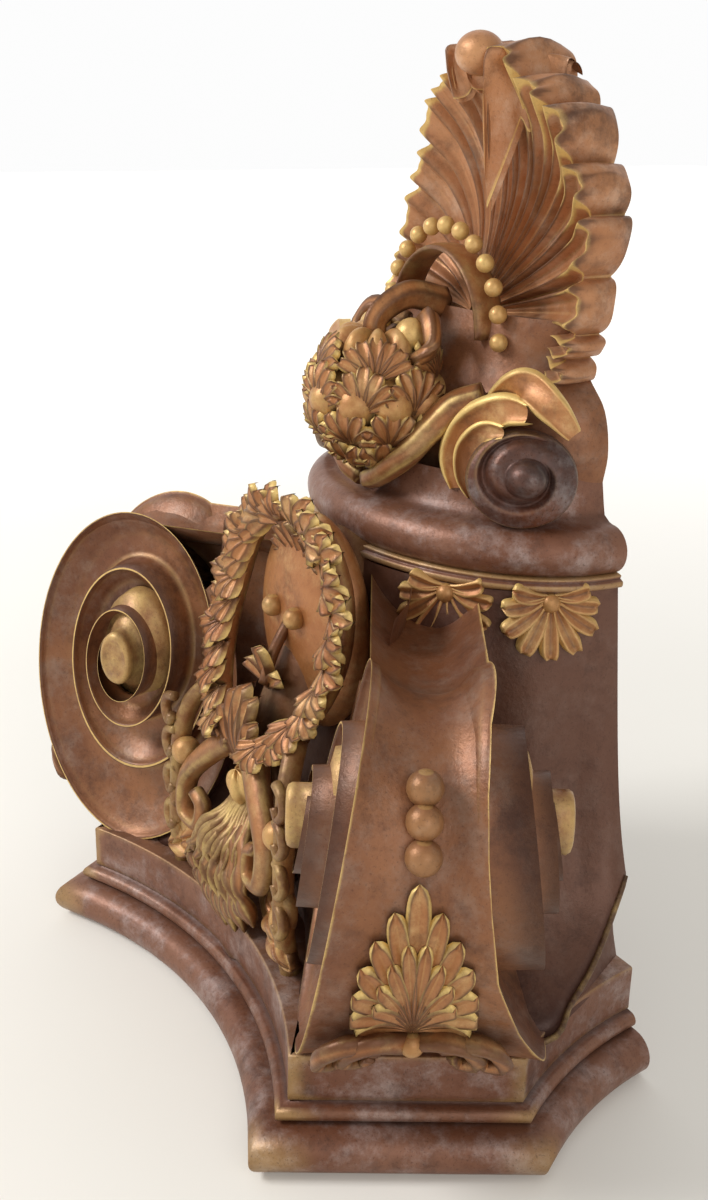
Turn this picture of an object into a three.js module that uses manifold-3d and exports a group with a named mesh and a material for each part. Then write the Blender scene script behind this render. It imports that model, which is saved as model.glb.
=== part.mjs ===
// Wall console, cast in one piece: moulded three-cornered shelf, two corner volutes,
// leafy cartouche, ring and a leaf finial. Millimetres, +Z up, front toward -Y.
import * as THREE from 'three';
import Module from 'manifold-3d';

// Shelf plan, as half widths and depths from the flat back
const SHELF_FRONT_CORNER_X = 96.5;
const SHELF_FRONT_CORNER_DEPTH = 148.4;
const SHELF_SIDE_CORNER_X = 141;
const SHELF_SIDE_CORNER_DEPTH = 73.1;
const SHELF_FRONT_MID_DEPTH = 125.2;
const SHELF_SIDE_MID_X = 126.1;
const SHELF_SIDE_MID_DEPTH = 42;
const SHELF_WALL_HALF = 116.7;
const SHELF_TOP = 44.7;
const FASCIA_FOOT = 25;
const TORUS_OVERHANG = 15;
const TORUS_HEIGHT = 17.6;
const ROLL_OVERHANG = 5;

// Body under the ring
const NECK_HALF = 88;
const NECK_DEPTH = 70;
const NECK_Z = 200;
const LIP_WALL_HALF = 107.8;
const LIP_WALL_Z = 83.5;
const COVE_DEPTH = 4;

// Volutes: vertical middle plane and log spiral
const ARM_AZIMUTH = 58;
const EYE_REACH = 145.9;
const EYE_Z = 131.9;
const ARM_OFFSET = 26;
const SPIRAL_FOOT_RADIUS = 89.1;
const HALF_TURN_RATIO = 0.765;
const SPIRAL_WIDTH_RATIO = 0.7;
const RIM_HALF_TOP = 22;
const RIM_HALF_FOOT = 47;
const RIM_TOP_Z = 195.7;
const RIM_FOOT_Z = 42.4;
const SCREW_RISE = 13;
const FLAT_DISH = 9;
const BAND_DIP = 9;
const EYE_RISE = 6;
const FACE_DEPTH = 11;

// Ring
const RING_HALF = 90;
const RING_DEPTH = 70;
const RING_Z = 214;
const RING_RADIUS = 9.5;
const FILLET_Z = 202;

// Ornament
const BAND_BEAD = 8;
const BEAD = 5;
const ROSETTE_RADIUS = 29;
const ROSETTE_Z = 264;
const ROSETTE_DEPTH = 56;
const SCROLL_RADIUS = 22;
const CREST_HALF = 72;
const CREST_ROOT_Z = 282;
const CREST_TOP_Z = 392;
const CREST_THICKNESS = 22;
const OVERALL_HEIGHT = 400;

const wasm = await Module();
wasm.setup();

const rad = (deg) => deg * Math.PI / 180;
const mix = (a, b, t) => a + (b - a) * t;
const add = (a, b, k = 1) => [a[0] + b[0] * k, a[1] + b[1] * k, a[2] + b[2] * k];
const unit = (a) => {
  const l = Math.hypot(a[0], a[1], a[2]);
  return [a[0] / l, a[1] / l, a[2] / l];
};
const cross = (a, b) => [
  a[1] * b[2] - a[2] * b[1], a[2] * b[0] - a[0] * b[2], a[0] * b[1] - a[1] * b[0]];
const mirror = (points) => points.map((p) => [-p[0], p[1], p[2]]);

// Smooth curve through named points
function curve(points, count) {
  const path = new THREE.CatmullRomCurve3(points.map((p) => new THREE.Vector3(...p)), false, 'centripetal');
  return path.getPoints(count).map((p) => [p.x, p.y, p.z]);
}

// Manifold body from vertices and triangles, turned outward
function body(vertices, triangles) {
  let volume = 0;
  for (const [a, b, c] of triangles) {
    const [p, q, r] = [vertices[a], vertices[b], vertices[c]];
    const n = cross(q, r);
    volume += p[0] * n[0] + p[1] * n[1] + p[2] * n[2];
  }
  const list = volume < 0 ? triangles.map(([a, b, c]) => [a, c, b]) : triangles;
  const mesh = new wasm.Mesh({
    numProp: 3,
    vertProperties: new Float32Array(vertices.flat()),
    triVerts: new Uint32Array(list.flat()),
  });
  return new wasm.Manifold(mesh);
}

// Closed loft through equal rings of points, ends closed as flat polygons
function loft(rings, flatAxes = [0, 1]) {
  const n = rings[0].length;
  const vertices = rings.flat();
  const triangles = [];
  for (let i = 0; i < rings.length - 1; i += 1) {
    for (let j = 0; j < n; j += 1) {
      const k = (j + 1) % n;
      const [a, b, c, d] = [i * n + j, i * n + k, (i + 1) * n + k, (i + 1) * n + j];
      triangles.push([a, b, c], [a, c, d]);
    }
  }
  for (const end of [0, rings.length - 1]) {
    const ring = rings[end].map((p) => new THREE.Vector2(p[flatAxes[0]], p[flatAxes[1]]));
    for (const [a, b, c] of THREE.ShapeUtils.triangulateShape(ring, [])) {
      const face = [end * n + a, end * n + b, end * n + c];
      const turned = THREE.ShapeUtils.isClockWise(ring) === (end === 0);
      triangles.push(turned ? face : [face[0], face[2], face[1]]);
    }
  }
  return { vertices, triangles };
}

// Rod of round or oval section along a path, rounded off at its ends
function rod(path, radii, sides = 6, up = [0, 0, 1]) {
  const last = path.length - 1;
  const rings = path.map((p, i) => {
    const along = unit(add(path[Math.min(i + 1, last)], path[Math.max(i - 1, 0)], -1));
    let side = cross(along, up);
    if (Math.hypot(...side) < 0.05) side = cross(along, [0, 1, 0.2]);
    side = unit(side);
    const top = cross(side, along);
    const [wide, high] = radii(i / last);
    return Array.from({ length: sides }, (_, j) => {
      const a = 2 * Math.PI * j / sides;
      return add(add(p, side, wide * Math.cos(a)), top, high * Math.sin(a));
    });
  });
  const vertices = rings.flat();
  const triangles = [];
  for (let i = 0; i < last; i += 1) {
    for (let j = 0; j < sides; j += 1) {
      const k = (j + 1) % sides;
      const [a, b, c, d] = [i * sides + j, i * sides + k, (i + 1) * sides + k, (i + 1) * sides + j];
      triangles.push([a, b, c], [a, c, d]);
    }
  }
  const [first, final] = [vertices.length, vertices.length + 1];
  vertices.push(path[0], path[last]);
  for (let j = 0; j < sides; j += 1) {
    const k = (j + 1) % sides;
    triangles.push([first, k, j], [final, last * sides + j, last * sides + k]);
  }
  return body(vertices, triangles);
}

// Ellipsoid from a centre and three half axes
function bead(centre, axes, around = 6, rows = 4) {
  const vertices = [add(centre, axes[2])];
  for (let i = 1; i < rows; i += 1) {
    const t = Math.PI * i / rows;
    for (let j = 0; j < around; j += 1) {
      const a = 2 * Math.PI * j / around;
      const level = add(centre, axes[2], Math.cos(t));
      vertices.push(add(add(level, axes[0], Math.sin(t) * Math.cos(a)), axes[1], Math.sin(t) * Math.sin(a)));
    }
  }
  vertices.push(add(centre, axes[2], -1));
  const triangles = [];
  const low = vertices.length - 1;
  for (let j = 0; j < around; j += 1) {
    const k = (j + 1) % around;
    triangles.push([0, 1 + j, 1 + k]);
    triangles.push([low, 1 + (rows - 2) * around + k, 1 + (rows - 2) * around + j]);
    for (let i = 0; i < rows - 2; i += 1) {
      const [a, b] = [1 + i * around + j, 1 + i * around + k];
      triangles.push([a, a + around, b + around], [a, b + around, b]);
    }
  }
  return body(vertices, triangles);
}

const ball = (c, r, around = 6, rows = 3) => bead(c, [[r, 0, 0], [0, r, 0], [0, 0, r]], around, rows);

// Lobed leaf: spine from root to tip, raised midrib, scalloped edge, bent over at the tip
function leaf({ root, along, out, length, half, lobes, curl, thick, belly = 0.1, rows = 5 }) {
  const dir = unit(along);
  const side = unit(cross(dir, out));
  const up = unit(cross(side, dir));
  const across = [-1, 0, 1];
  const vertices = [];
  const triangles = [];
  const n = across.length + 2;
  for (let i = 0; i <= rows; i += 1) {
    const u = i / rows;
    const envelope = Math.sin(Math.PI * (0.12 + 0.88 * u)) ** 0.7;
    const scallop = 0.74 + 0.26 * Math.abs(Math.sin(Math.PI * lobes * u));
    const width = Math.max(half * envelope * scallop, half * 0.06);
    const reach = length * u - 0.18 * Math.abs(curl) * u ** 4;
    const lift = belly * length * Math.sin(Math.PI * u) + curl * u ** 3;
    const spine = add(add(root, dir, reach), up, lift);
    for (const v of across) {
      const rise = thick * (v === 0 ? 0.55 : Math.abs(v) < 1 ? 0.15 : 0.3);
      const sweep = u < 1 ? -0.22 * half * Math.abs(v) : 0;
      vertices.push(add(add(add(spine, side, width * v), up, rise), dir, sweep));
    }
    for (const v of [1, -1]) vertices.push(add(add(spine, side, width * v * 0.9), up, -thick));
  }
  for (let i = 0; i < rows; i += 1) {
    for (let j = 0; j < n; j += 1) {
      const k = (j + 1) % n;
      const [a, b, c, d] = [i * n + j, i * n + k, (i + 1) * n + k, (i + 1) * n + j];
      triangles.push([a, b, c], [a, c, d]);
    }
  }
  for (let j = 1; j < n - 1; j += 1) {
    triangles.push([0, j + 1, j], [rows * n, rows * n + j, rows * n + j + 1]);
  }
  return body(vertices, triangles);
}

// Bud: ball with staggered rows of lobes
function bud(centre, radius, around, rows, lobes, relief) {
  const vertices = [add(centre, [0, 0, radius])];
  for (let i = 1; i < rows; i += 1) {
    const t = Math.PI * i / rows;
    for (let j = 0; j < around; j += 1) {
      const a = 2 * Math.PI * j / around;
      const row = Math.sin(t * 3) ** 2;
      const wave = Math.abs(Math.cos(a * lobes / 2 + (Math.floor(t * 3 / Math.PI) % 2) * Math.PI / 2));
      const r = radius * (1 - relief + relief * 1.6 * row * (0.4 + 0.6 * wave));
      vertices.push(add(centre, [
        r * Math.sin(t) * Math.cos(a), r * Math.sin(t) * Math.sin(a), r * Math.cos(t)]));
    }
  }
  vertices.push(add(centre, [0, 0, -radius]));
  const triangles = [];
  const low = vertices.length - 1;
  for (let j = 0; j < around; j += 1) {
    const k = (j + 1) % around;
    triangles.push([0, 1 + j, 1 + k]);
    triangles.push([low, 1 + (rows - 2) * around + k, 1 + (rows - 2) * around + j]);
    for (let i = 0; i < rows - 2; i += 1) {
      const [a, b] = [1 + i * around + j, 1 + i * around + k];
      triangles.push([a, a + around, b + around], [a, b + around, b]);
    }
  }
  return body(vertices, triangles);
}

// Arc through three plan points
function arc(a, b, c, count) {
  const d = 2 * (a[0] * (b[1] - c[1]) + b[0] * (c[1] - a[1]) + c[0] * (a[1] - b[1]));
  const [sa, sb, sc] = [a, b, c].map((p) => p[0] ** 2 + p[1] ** 2);
  const centre = [
    (sa * (b[1] - c[1]) + sb * (c[1] - a[1]) + sc * (a[1] - b[1])) / d,
    (sa * (c[0] - b[0]) + sb * (a[0] - c[0]) + sc * (b[0] - a[0])) / d];
  const radius = Math.hypot(a[0] - centre[0], a[1] - centre[1]);
  const angle = (p) => Math.atan2(p[1] - centre[1], p[0] - centre[0]);
  const start = angle(a);
  let sweep = angle(c) - start;
  if (sweep > Math.PI) sweep -= 2 * Math.PI;
  if (sweep < -Math.PI) sweep += 2 * Math.PI;
  return Array.from({ length: count + 1 }, (_, i) => {
    const t = start + sweep * i / count;
    return [centre[0] + radius * Math.cos(t), centre[1] + radius * Math.sin(t)];
  });
}

// Half plan of the shelf from the wall to the middle of the front
const sideArc = arc(
  [SHELF_WALL_HALF, 0], [SHELF_SIDE_MID_X, -SHELF_SIDE_MID_DEPTH],
  [SHELF_SIDE_CORNER_X, -SHELF_SIDE_CORNER_DEPTH], 4);
const frontArc = arc(
  [SHELF_FRONT_CORNER_X, -SHELF_FRONT_CORNER_DEPTH], [0, -SHELF_FRONT_MID_DEPTH],
  [-SHELF_FRONT_CORNER_X, -SHELF_FRONT_CORNER_DEPTH], 10);
const shelfPlan = [...sideArc, ...frontArc, ...sideArc.map((p) => [-p[0], p[1]]).reverse()];

// Plan moved outward by a distance, corners mitred, ends kept on the flat back
function shelfRing(offset, z) {
  const last = shelfPlan.length - 1;
  return shelfPlan.map((p, i) => {
    const before = shelfPlan[Math.max(i - 1, 0)];
    const after = shelfPlan[Math.min(i + 1, last)];
    const normal = (a, b) => {
      const l = Math.hypot(b[0] - a[0], b[1] - a[1]);
      return [-(b[1] - a[1]) / l, (b[0] - a[0]) / l];
    };
    if (i === 0 || i === last) {
      const n = i === 0 ? normal(after, p) : normal(p, before);
      return [p[0] + Math.sign(p[0]) * offset / Math.abs(n[0]), 0, z];
    }
    const [n1, n2] = [normal(before, p), normal(p, after)];
    const k = offset / (1 + n1[0] * n2[0] + n1[1] * n2[1]);
    return [p[0] + (n1[0] + n2[0]) * k, p[1] + (n1[1] + n2[1]) * k, z];
  });
}

const torusRadius = TORUS_HEIGHT / 2;
const torusRows = [-60, -10, 40, 88].map((deg) => [
  TORUS_OVERHANG - torusRadius + torusRadius * Math.cos(rad(deg)),
  torusRadius + torusRadius * Math.sin(rad(deg))]);
const rollRadius = (FASCIA_FOOT - TORUS_HEIGHT) / 2 - 0.6;
const rollRows = [-60, 60].map((deg) => [
  ROLL_OVERHANG - rollRadius + rollRadius * Math.cos(rad(deg)),
  TORUS_HEIGHT + 0.4 + rollRadius + rollRadius * Math.sin(rad(deg))]);
const shelfProfile = [
  [TORUS_OVERHANG - torusRadius, 0], ...torusRows, [1.2, TORUS_HEIGHT], ...rollRows,
  [-0.8, FASCIA_FOOT - 0.3], [0, FASCIA_FOOT], [0, SHELF_TOP - 1], [-1, SHELF_TOP]];
const shelf = loft(shelfProfile.map(([offset, z]) => shelfRing(offset, z)));

// Volute frame: outward direction, front face direction
const OUT = [Math.sin(rad(ARM_AZIMUTH)), -Math.cos(rad(ARM_AZIMUTH)), 0];
const FRONT = [-Math.cos(rad(ARM_AZIMUTH)), -Math.sin(rad(ARM_AZIMUTH)), 0];
const armPoint = (reach, across, z) => [
  OUT[0] * reach + FRONT[0] * (across + ARM_OFFSET),
  OUT[1] * reach + FRONT[1] * (across + ARM_OFFSET), z];
const rimHalf = (z) => mix(RIM_HALF_FOOT, RIM_HALF_TOP, (z - RIM_FOOT_Z) / (RIM_TOP_Z - RIM_FOOT_Z));
const spiralRadius = (deg) => SPIRAL_FOOT_RADIUS * HALF_TURN_RATIO ** ((deg + 90) / 180);
const spiralPlan = (deg, scale = 1) => {
  const r = spiralRadius(deg) * scale;
  return [EYE_REACH + SPIRAL_WIDTH_RATIO * r * Math.cos(rad(deg)), EYE_Z + r * Math.sin(rad(deg))];
};
const screw = (deg) => SCREW_RISE * Math.min(Math.max((deg - 180) / 630, 0), 1);

// Solid between the two rims, waisted along the band
function arm() {
  const levels = [-1, -0.5, 0.5, 1];
  const rings = levels.map((t) => {
    const ring = [];
    for (let deg = -130; deg <= 170; deg += 20) {
      const top = Math.max(0, Math.sin(rad(deg)));
      const dip = BAND_DIP * (0.5 + 0.9 * top) * (1 - t * t);
      const scale = 1 - dip / spiralRadius(deg);
      const [reach, z] = spiralPlan(deg, scale);
      ring.push(armPoint(reach, t * (rimHalf(z) - FACE_DEPTH), z));
    }
    ring.push(armPoint(EYE_REACH - 66, t * (rimHalf(EYE_Z) - FACE_DEPTH), EYE_Z - 6));
    ring.push(armPoint(EYE_REACH - 60, t * (rimHalf(RIM_FOOT_Z) - FACE_DEPTH), RIM_FOOT_Z + 14));
    return ring;
  });
  const { vertices, triangles } = loft(rings, [0, 2]);
  return body(vertices, triangles);
}

// One face of a volute: the spiral edge, dished flats and the walls between the turns
function spiralFace(way) {
  const steps = 14;
  const turns = 2.5;
  const rows = Math.round(steps * turns);
  const parts = [0, 0.18, 0.86];
  const place = (i, part) => {
    const deg = -90 + 360 * i / steps;
    const [reach, z] = spiralPlan(deg, HALF_TURN_RATIO ** (2 * part));
    const edge = screw(deg);
    const next = screw(deg + 360);
    const dish = FLAT_DISH * (i < 4 ? i / 4 : 1);
    let rise = edge;
    if (part > 0.1) rise = edge - dish * (part < 0.5 ? 0.7 : 1);
    if (part > 0.85) rise = Math.max(next - 1.5, edge - dish);
    return [armPoint(reach, way * (rimHalf(z) + rise), z), armPoint(reach, way * (rimHalf(z) - FACE_DEPTH - 2), z)];
  };
  const vertices = [];
  const behind = [];
  const index = (i, j) => {
    if (j === parts.length) return (i + steps) * parts.length;
    return i * parts.length + j;
  };
  for (let i = 0; i <= rows + steps; i += 1) {
    for (const part of parts) {
      const [front, rear] = place(i, part);
      vertices.push(front);
      behind.push(rear);
    }
  }
  const triangles = [];
  const edges = [];
  for (let i = 0; i < rows; i += 1) {
    for (let j = 0; j < parts.length; j += 1) {
      const [a, b, c, d] = [index(i, j), index(i, j + 1), index(i + 1, j + 1), index(i + 1, j)];
      triangles.push([a, b, c], [a, c, d]);
    }
  }
  const used = new Map();
  for (const tri of triangles) {
    for (let k = 0; k < 3; k += 1) {
      const [a, b] = [tri[k], tri[(k + 1) % 3]];
      if (used.has(`${b} ${a}`)) used.delete(`${b} ${a}`);
      else used.set(`${a} ${b}`, [a, b]);
    }
  }
  for (const pair of used.values()) edges.push(pair);
  // Sides run back into the arm, and the whole is closed by the same net, flat, behind
  const total = vertices.length;
  const back = triangles.map(([a, b, c]) => [total + a, total + c, total + b]);
  const walls = edges.flatMap(([a, b]) => [[b, a, total + a], [b, total + a, total + b]]);
  const all = [...vertices, ...behind];
  const keep = new Map();
  const list = [...triangles, ...back, ...walls].map((tri) => tri.map((v) => {
    if (!keep.has(v)) keep.set(v, keep.size);
    return keep.get(v);
  }));
  return body([...keep.keys()].map((v) => all[v]), list);
}

// Button in the middle of a spiral face
function eye(way) {
  const [reach, z] = spiralPlan(810);
  const centre = [mix(reach, EYE_REACH, 0.8), mix(z, EYE_Z, 0.8)];
  const rings = [[-FACE_DEPTH - 4, 1], [SCREW_RISE + EYE_RISE, 0.9]].map(([out, scale]) => (
    Array.from({ length: 10 }, (_, i) => {
      const a = 2 * Math.PI * i / 10;
      const height = centre[1] + 12.5 * scale * Math.sin(a);
      return armPoint(centre[0] + 8 * scale * Math.cos(a), way * (rimHalf(centre[1]) + out), height);
    })));
  const { vertices, triangles } = loft(rings, [0, 2]);
  return body(vertices, triangles);
}

// Body: from the neck under the ring down to a flared lip that drops toward the volutes
const lipHalf = [
  [LIP_WALL_HALF, 0, LIP_WALL_Z], [114, -12, 70], [122, -27, 58], [128, -42, 50], [134, -60, 43],
  [108, -100, 42], [74, -128, 43], [48, -114, 50], [24, -103, 58], [0, -99, 62]];
function bellRing(t, drop) {
  const lip = curve(lipHalf, 10);
  const half = lip.map((p, i) => {
    const a = Math.PI / 2 * i / 10;
    const neck = [NECK_HALF * Math.cos(a), -NECK_DEPTH * Math.sin(a), NECK_Z];
    const flare = 0.72 * t + 0.28 * t ** 5;
    if (drop) {
      const inset = 1 - COVE_DEPTH / 100 * Math.sin(Math.PI * Math.min(drop, 0.98));
      return [p[0] * inset, p[1] * inset, mix(p[2], SHELF_TOP - 2, drop)];
    }
    return [mix(neck[0], p[0], flare), mix(neck[1], p[1], flare), mix(neck[2], p[2], t)];
  });
  return [...half, ...mirror(half).reverse().slice(1)];
}
const bellRings = [0, 0.3, 0.6, 0.85, 1].map((t) => bellRing(t, 0));
bellRings.push(bellRing(1, 0.5), bellRing(1, 1));
const bell = loft(bellRings);

// Half oval standing on the flat back
const ovalRing = (half, depth, z, count = 16) => Array.from({ length: count + 1 }, (_, i) => {
  const a = Math.PI * i / count;
  return [half * Math.cos(a), -depth * Math.sin(a), z];
});
const ringRows = [
  [-6, FILLET_Z - 6], [-2, FILLET_Z - 2], [0.5, FILLET_Z], [0.5, FILLET_Z + 2.2], [-3, FILLET_Z + 3],
  ...[-45, 10, 65].map((deg) => [
    RING_RADIUS * Math.cos(rad(deg)) - 8, RING_Z + RING_RADIUS * Math.sin(rad(deg))]),
  [-14, RING_Z + 14], [-16, RING_Z + 24]];
const ring = loft(ringRows.map(([out, z]) => ovalRing(RING_HALF + out, RING_DEPTH + out, z)));

// Finial block between ring and crest
const finialRows = [
  [78, 50, RING_Z + 6], [74, 46, RING_Z + 20], [76, 44, RING_Z + 36], [72, 40, RING_Z + 52],
  [60, 34, RING_Z + 66], [62, 28, RING_Z + 84]];
const finial = loft(finialRows.map(([half, depth, z]) => ovalRing(half, depth, z, 16)));

// Fan crest: ribbed face, scalloped edge and thick sides, its top lobes bent forward
function crest() {
  const spokes = 33;
  const levels = [0.5, 0.88, 1];
  const front = [];
  const back = [];
  for (let i = 0; i <= spokes; i += 1) {
    const s = i / spokes * 2 - 1;
    const a = s * rad(128);
    const lobe = Math.abs(Math.cos(s * Math.PI * 5.5));
    const reachX = CREST_HALF * (0.93 + 0.07 * lobe);
    const reachZ = (CREST_TOP_Z - CREST_ROOT_Z - 22) * (0.93 + 0.07 * lobe);
    for (const r of levels) {
      const x = reachX * Math.sin(a) * r;
      const z = CREST_ROOT_Z + 22 + reachZ * Math.cos(a) * r * (Math.cos(a) < 0 ? 0.45 : 1);
      const rib = 3.6 * lobe * Math.min(1, r * 1.3);
      const bow = CREST_THICKNESS - 7 * Math.sin(Math.PI * r) + 9 * r ** 3 * Math.max(0, Math.cos(a));
      front.push([x, -(bow + rib) * (r === 1 ? 0.8 : 1), z]);
      back.push([x, 0, z]);
    }
  }
  const n = levels.length;
  const total = front.length;
  const vertices = [...front, ...back, [0, -CREST_THICKNESS + 3, CREST_ROOT_Z + 22], [0, 0, CREST_ROOT_Z + 22]];
  const [hubFront, hubBack] = [2 * total, 2 * total + 1];
  const triangles = [];
  for (let i = 0; i < spokes; i += 1) {
    const [p, q] = [i * n, (i + 1) * n];
    triangles.push([hubFront, q, p], [hubBack, total + p, total + q]);
    for (let j = 0; j < n - 1; j += 1) {
      triangles.push([p + j, q + j, q + j + 1], [p + j, q + j + 1, p + j + 1]);
      const [a, b] = [total + p + j, total + q + j];
      triangles.push([a, b + 1, b], [a, a + 1, b + 1]);
    }
    triangles.push([p + n - 1, q + n - 1, total + q + n - 1], [p + n - 1, total + q + n - 1, total + p + n - 1]);
  }
  for (const [base, way] of [[0, 1], [spokes * n, -1]]) {
    const line = [hubFront, ...Array.from({ length: n }, (_, j) => base + j)];
    const rear = [hubBack, ...Array.from({ length: n }, (_, j) => total + base + j)];
    for (let j = 0; j < n; j += 1) {
      const quad = [[line[j], line[j + 1], rear[j + 1]], [line[j], rear[j + 1], rear[j]]];
      quad.forEach(([a, b, c]) => triangles.push(way > 0 ? [a, b, c] : [a, c, b]));
    }
  }
  return body(vertices, triangles);
}

const solids = [
  body(shelf.vertices, shelf.triangles), body(bell.vertices, bell.triangles),
  body(ring.vertices, ring.triangles), body(finial.vertices, finial.triangles), crest()];

// Pieces of one side, then the same on the other
const right = [arm(), spiralFace(1), spiralFace(-1), eye(1), eye(-1)];

// Beads, fan leaf and stem on the band of a volute
const bandPoint = (deg, out, across = 0) => {
  const [reach, z] = spiralPlan(deg, 1 + out / spiralRadius(deg));
  return armPoint(reach, across, z);
};
for (const deg of [14, 3, -8]) right.push(ball(bandPoint(deg, -5), BAND_BEAD, 7, 4));
right.push(leaf({
  root: bandPoint(-62, -2), along: add(bandPoint(-14, 0), bandPoint(-62, 0), -1), out: OUT,
  length: 50, half: 27, lobes: 2.5, curl: 9, thick: 9 }));
for (const way of [-1, 1]) {
  right.push(rod(curve([
    bandPoint(-66, -3, 4 * way), bandPoint(-60, 4, 18 * way), bandPoint(-70, 4, 34 * way),
    bandPoint(-78, 3, 26 * way)], 6), (t) => [6 - 2 * t, 5 - 2 * t], 5));
}

// Palmettes on the body under the ring
const ovalPoint = (deg, half, depth, z) => [half * Math.cos(rad(deg)), -depth * Math.sin(rad(deg)), z];
for (const deg of [16, 52]) {
  const out = unit([Math.cos(rad(deg)), -Math.sin(rad(deg)), 0]);
  right.push(leaf({
    root: ovalPoint(deg, NECK_HALF - 2, NECK_DEPTH - 2, FILLET_Z - 2), along: add([0, 0, -1], out, 0.18),
    out, length: 38, half: 19, lobes: 3, curl: 3, thick: 6 }));
}

// Side scroll with a round boss on the finial, and its two-lobed leaf
const scrollCentre = [62, -26, RING_Z + 36];
const scrollFace = unit([0.72, -0.66, 0.1]);
const scrollSide = unit(cross([0, 0, 1], scrollFace));
for (const [radius, thick, out] of [[SCROLL_RADIUS, 5, 2], [SCROLL_RADIUS * 0.45, 6, 5]]) {
  right.push(bead(add(scrollCentre, scrollFace, out),
    [scrollSide.map((v) => v * radius), [0, 0, radius], scrollFace.map((v) => v * thick)], 12, 5));
}
for (const [lean, length] of [[-0.35, 30], [0.35, 34]]) {
  right.push(leaf({
    root: add(scrollCentre, [0, 0, 16]), along: [0.25 + lean, -0.25, 1], out: [0.6, -0.8, 0.1],
    length, half: 11, lobes: 3, curl: 8, thick: 8 }));
}

// Frame, leaf curls and beads beside the cartouche
right.push(rod(curve([
  [6, -96, 216], [30, -92, 206], [42, -96, 184], [44, -104, 160], [34, -112, 140], [17, -117.4, 127]], 9),
(t) => [7 - 2 * t, 8], 6));
for (const [x, y, z] of [[38, -96, 200], [48, -99, 180], [48, -105, 158], [36, -113, 138]]) {
  right.push(ball([x, y, z], 8));
}
right.push(rod(curve([
  [10.3, -116.6, 121], [24, -122, 108], [36, -126, 92], [30, -128, 76], [20, -126, 84]], 7),
(t) => [6.5 - 3 * t, 6 - 2 * t], 5));
right.push(ball([40, -121, 101], BEAD + 2));
right.push(rod(curve([[14, -112, 60], [30, -118, 58], [46, -122, 66], [52, -124, 80]], 5), (t) => [6 - 3 * t, 5], 5));

solids.push(...right);
for (const piece of right) solids.push(piece.mirror([1, 0, 0]));

// Cartouche core and field, its beads, trefoil, bud, rosette and the tail leaf over the fascia
solids.push(rod([[0, -60, 205], [0, -84, 165], [0, -100, 125], [0, -106, 95], [0, -97, 61]], (t) => [15.7 - t, 12.6 - t], 7));
solids.push(bead([0, -84, 170], [[38, 0, 0], [0, 16, 0], [0, 0, 46]], 12, 6));
for (const x of [-9, 9]) solids.push(ball([x, -100, 176], BEAD));
solids.push(rod([[0, -94, 170], [0, -103, 158], [0, -108, 146]], () => [3, 3], 5));
for (const [x, z] of [[-9, 150], [9, 150], [0, 160]]) solids.push(ball([x, -104, z], 7.5));
solids.push(bead([0, -113.1, 127.8], [[11.3, 0, 0], [0, 10.4, 0], [0, -3.7, 17.2]], 9, 6));
solids.push(bead([0, -116, 105], [[9, 0, 0], [0, 7, 3], [0, -3, 9]], 8, 5));
solids.push(leaf({
  root: [0, -103.4, 97], along: [0, -0.35, -1], out: [0, -1, 0.2], length: 62, half: 27, lobes: 4,
  curl: 6, thick: 12, belly: 0.16, rows: 12 }));
solids.push(leaf({
  root: [0, -76, 196], along: [0, -0.25, 1], out: [0, -1, 0], length: 30, half: 18, lobes: 2.5,
  curl: 8, thick: 10 }));

// Rosette bud: ball with rows of lobes, small scrolls and beads on top
const rosette = [0, -ROSETTE_DEPTH, ROSETTE_Z];
solids.push(bud(rosette, ROSETTE_RADIUS, 20, 9, 10, 0.2));
solids.push(ball([0, -46, 239], 11));
solids.push(rod(curve([
  [0, -26, ROSETTE_Z + 34], [0, -46, ROSETTE_Z + 34], [0, -60, ROSETTE_Z + 20]], 4), () => [6, 5], 5));
for (const x of [-12, 12]) solids.push(ball([x, -50, ROSETTE_Z + 22], 9));

// Gold stem beside the rosette, pearls round the arch, drooping lobes and the knob
const archPoint = (t) => [30 * Math.cos(Math.PI * t), -24, 288 + 32 * Math.sin(Math.PI * t)];
solids.push(rod(Array.from({ length: 11 }, (_, i) => archPoint(i / 10)), () => [5, 9], 6, [0, 1, 0]));
for (let i = 0; i < 9; i += 1) {
  const [x, , z] = archPoint(i / 8);
  solids.push(ball([x * 1.26, -25, mix(288, z, 1.26)], 5));
}
for (const way of [-1, 1]) {
  solids.push(rod(curve([
    [30 * way, -30, 284], [42 * way, -40, 268], [38 * way, -54, 250], [22 * way, -66, 238]], 7),
  (t) => [5.5 - 1.5 * t, 7], 6));
  for (const [x, z, length] of [[22, 384, 24], [46, 371, 21]]) {
    solids.push(leaf({
      root: [x * way, -12, z], along: [0.1 * way, -0.9, -0.15], out: [0, -0.2, 1], length, half: 9,
      lobes: 2, curl: -12, thick: 7, rows: 5 }));
  }
}
solids.push(leaf({
  root: [0, -12, 388], along: [0, -1, 0], out: [0, 0, 1], length: 28, half: 11, lobes: 2, curl: -12,
  thick: 8, rows: 5 }));
solids.push(bead([0, -24, OVERALL_HEIGHT - 9], [[11, 0, 0], [0, 12, 0], [0, 0, 9]], 9, 5));

// One cast body, trimmed flat at the back and level at the foot
const roomDepth = 2 * SHELF_FRONT_CORNER_DEPTH;
const room = loft([0, OVERALL_HEIGHT].map((z) => [
  [-roomDepth, 0, z], [roomDepth, 0, z], [roomDepth, -roomDepth, z], [-roomDepth, -roomDepth, z]]));
let cast = solids[0];
for (const piece of solids.slice(1)) cast = cast.add(piece);
cast = cast.intersect(body(room.vertices, room.triangles));
const mesh = cast.getMesh();
const geometry = new THREE.BufferGeometry();
geometry.setAttribute('position', new THREE.BufferAttribute(mesh.vertProperties, 3));
geometry.setIndex(new THREE.BufferAttribute(mesh.triVerts, 1));

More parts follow.
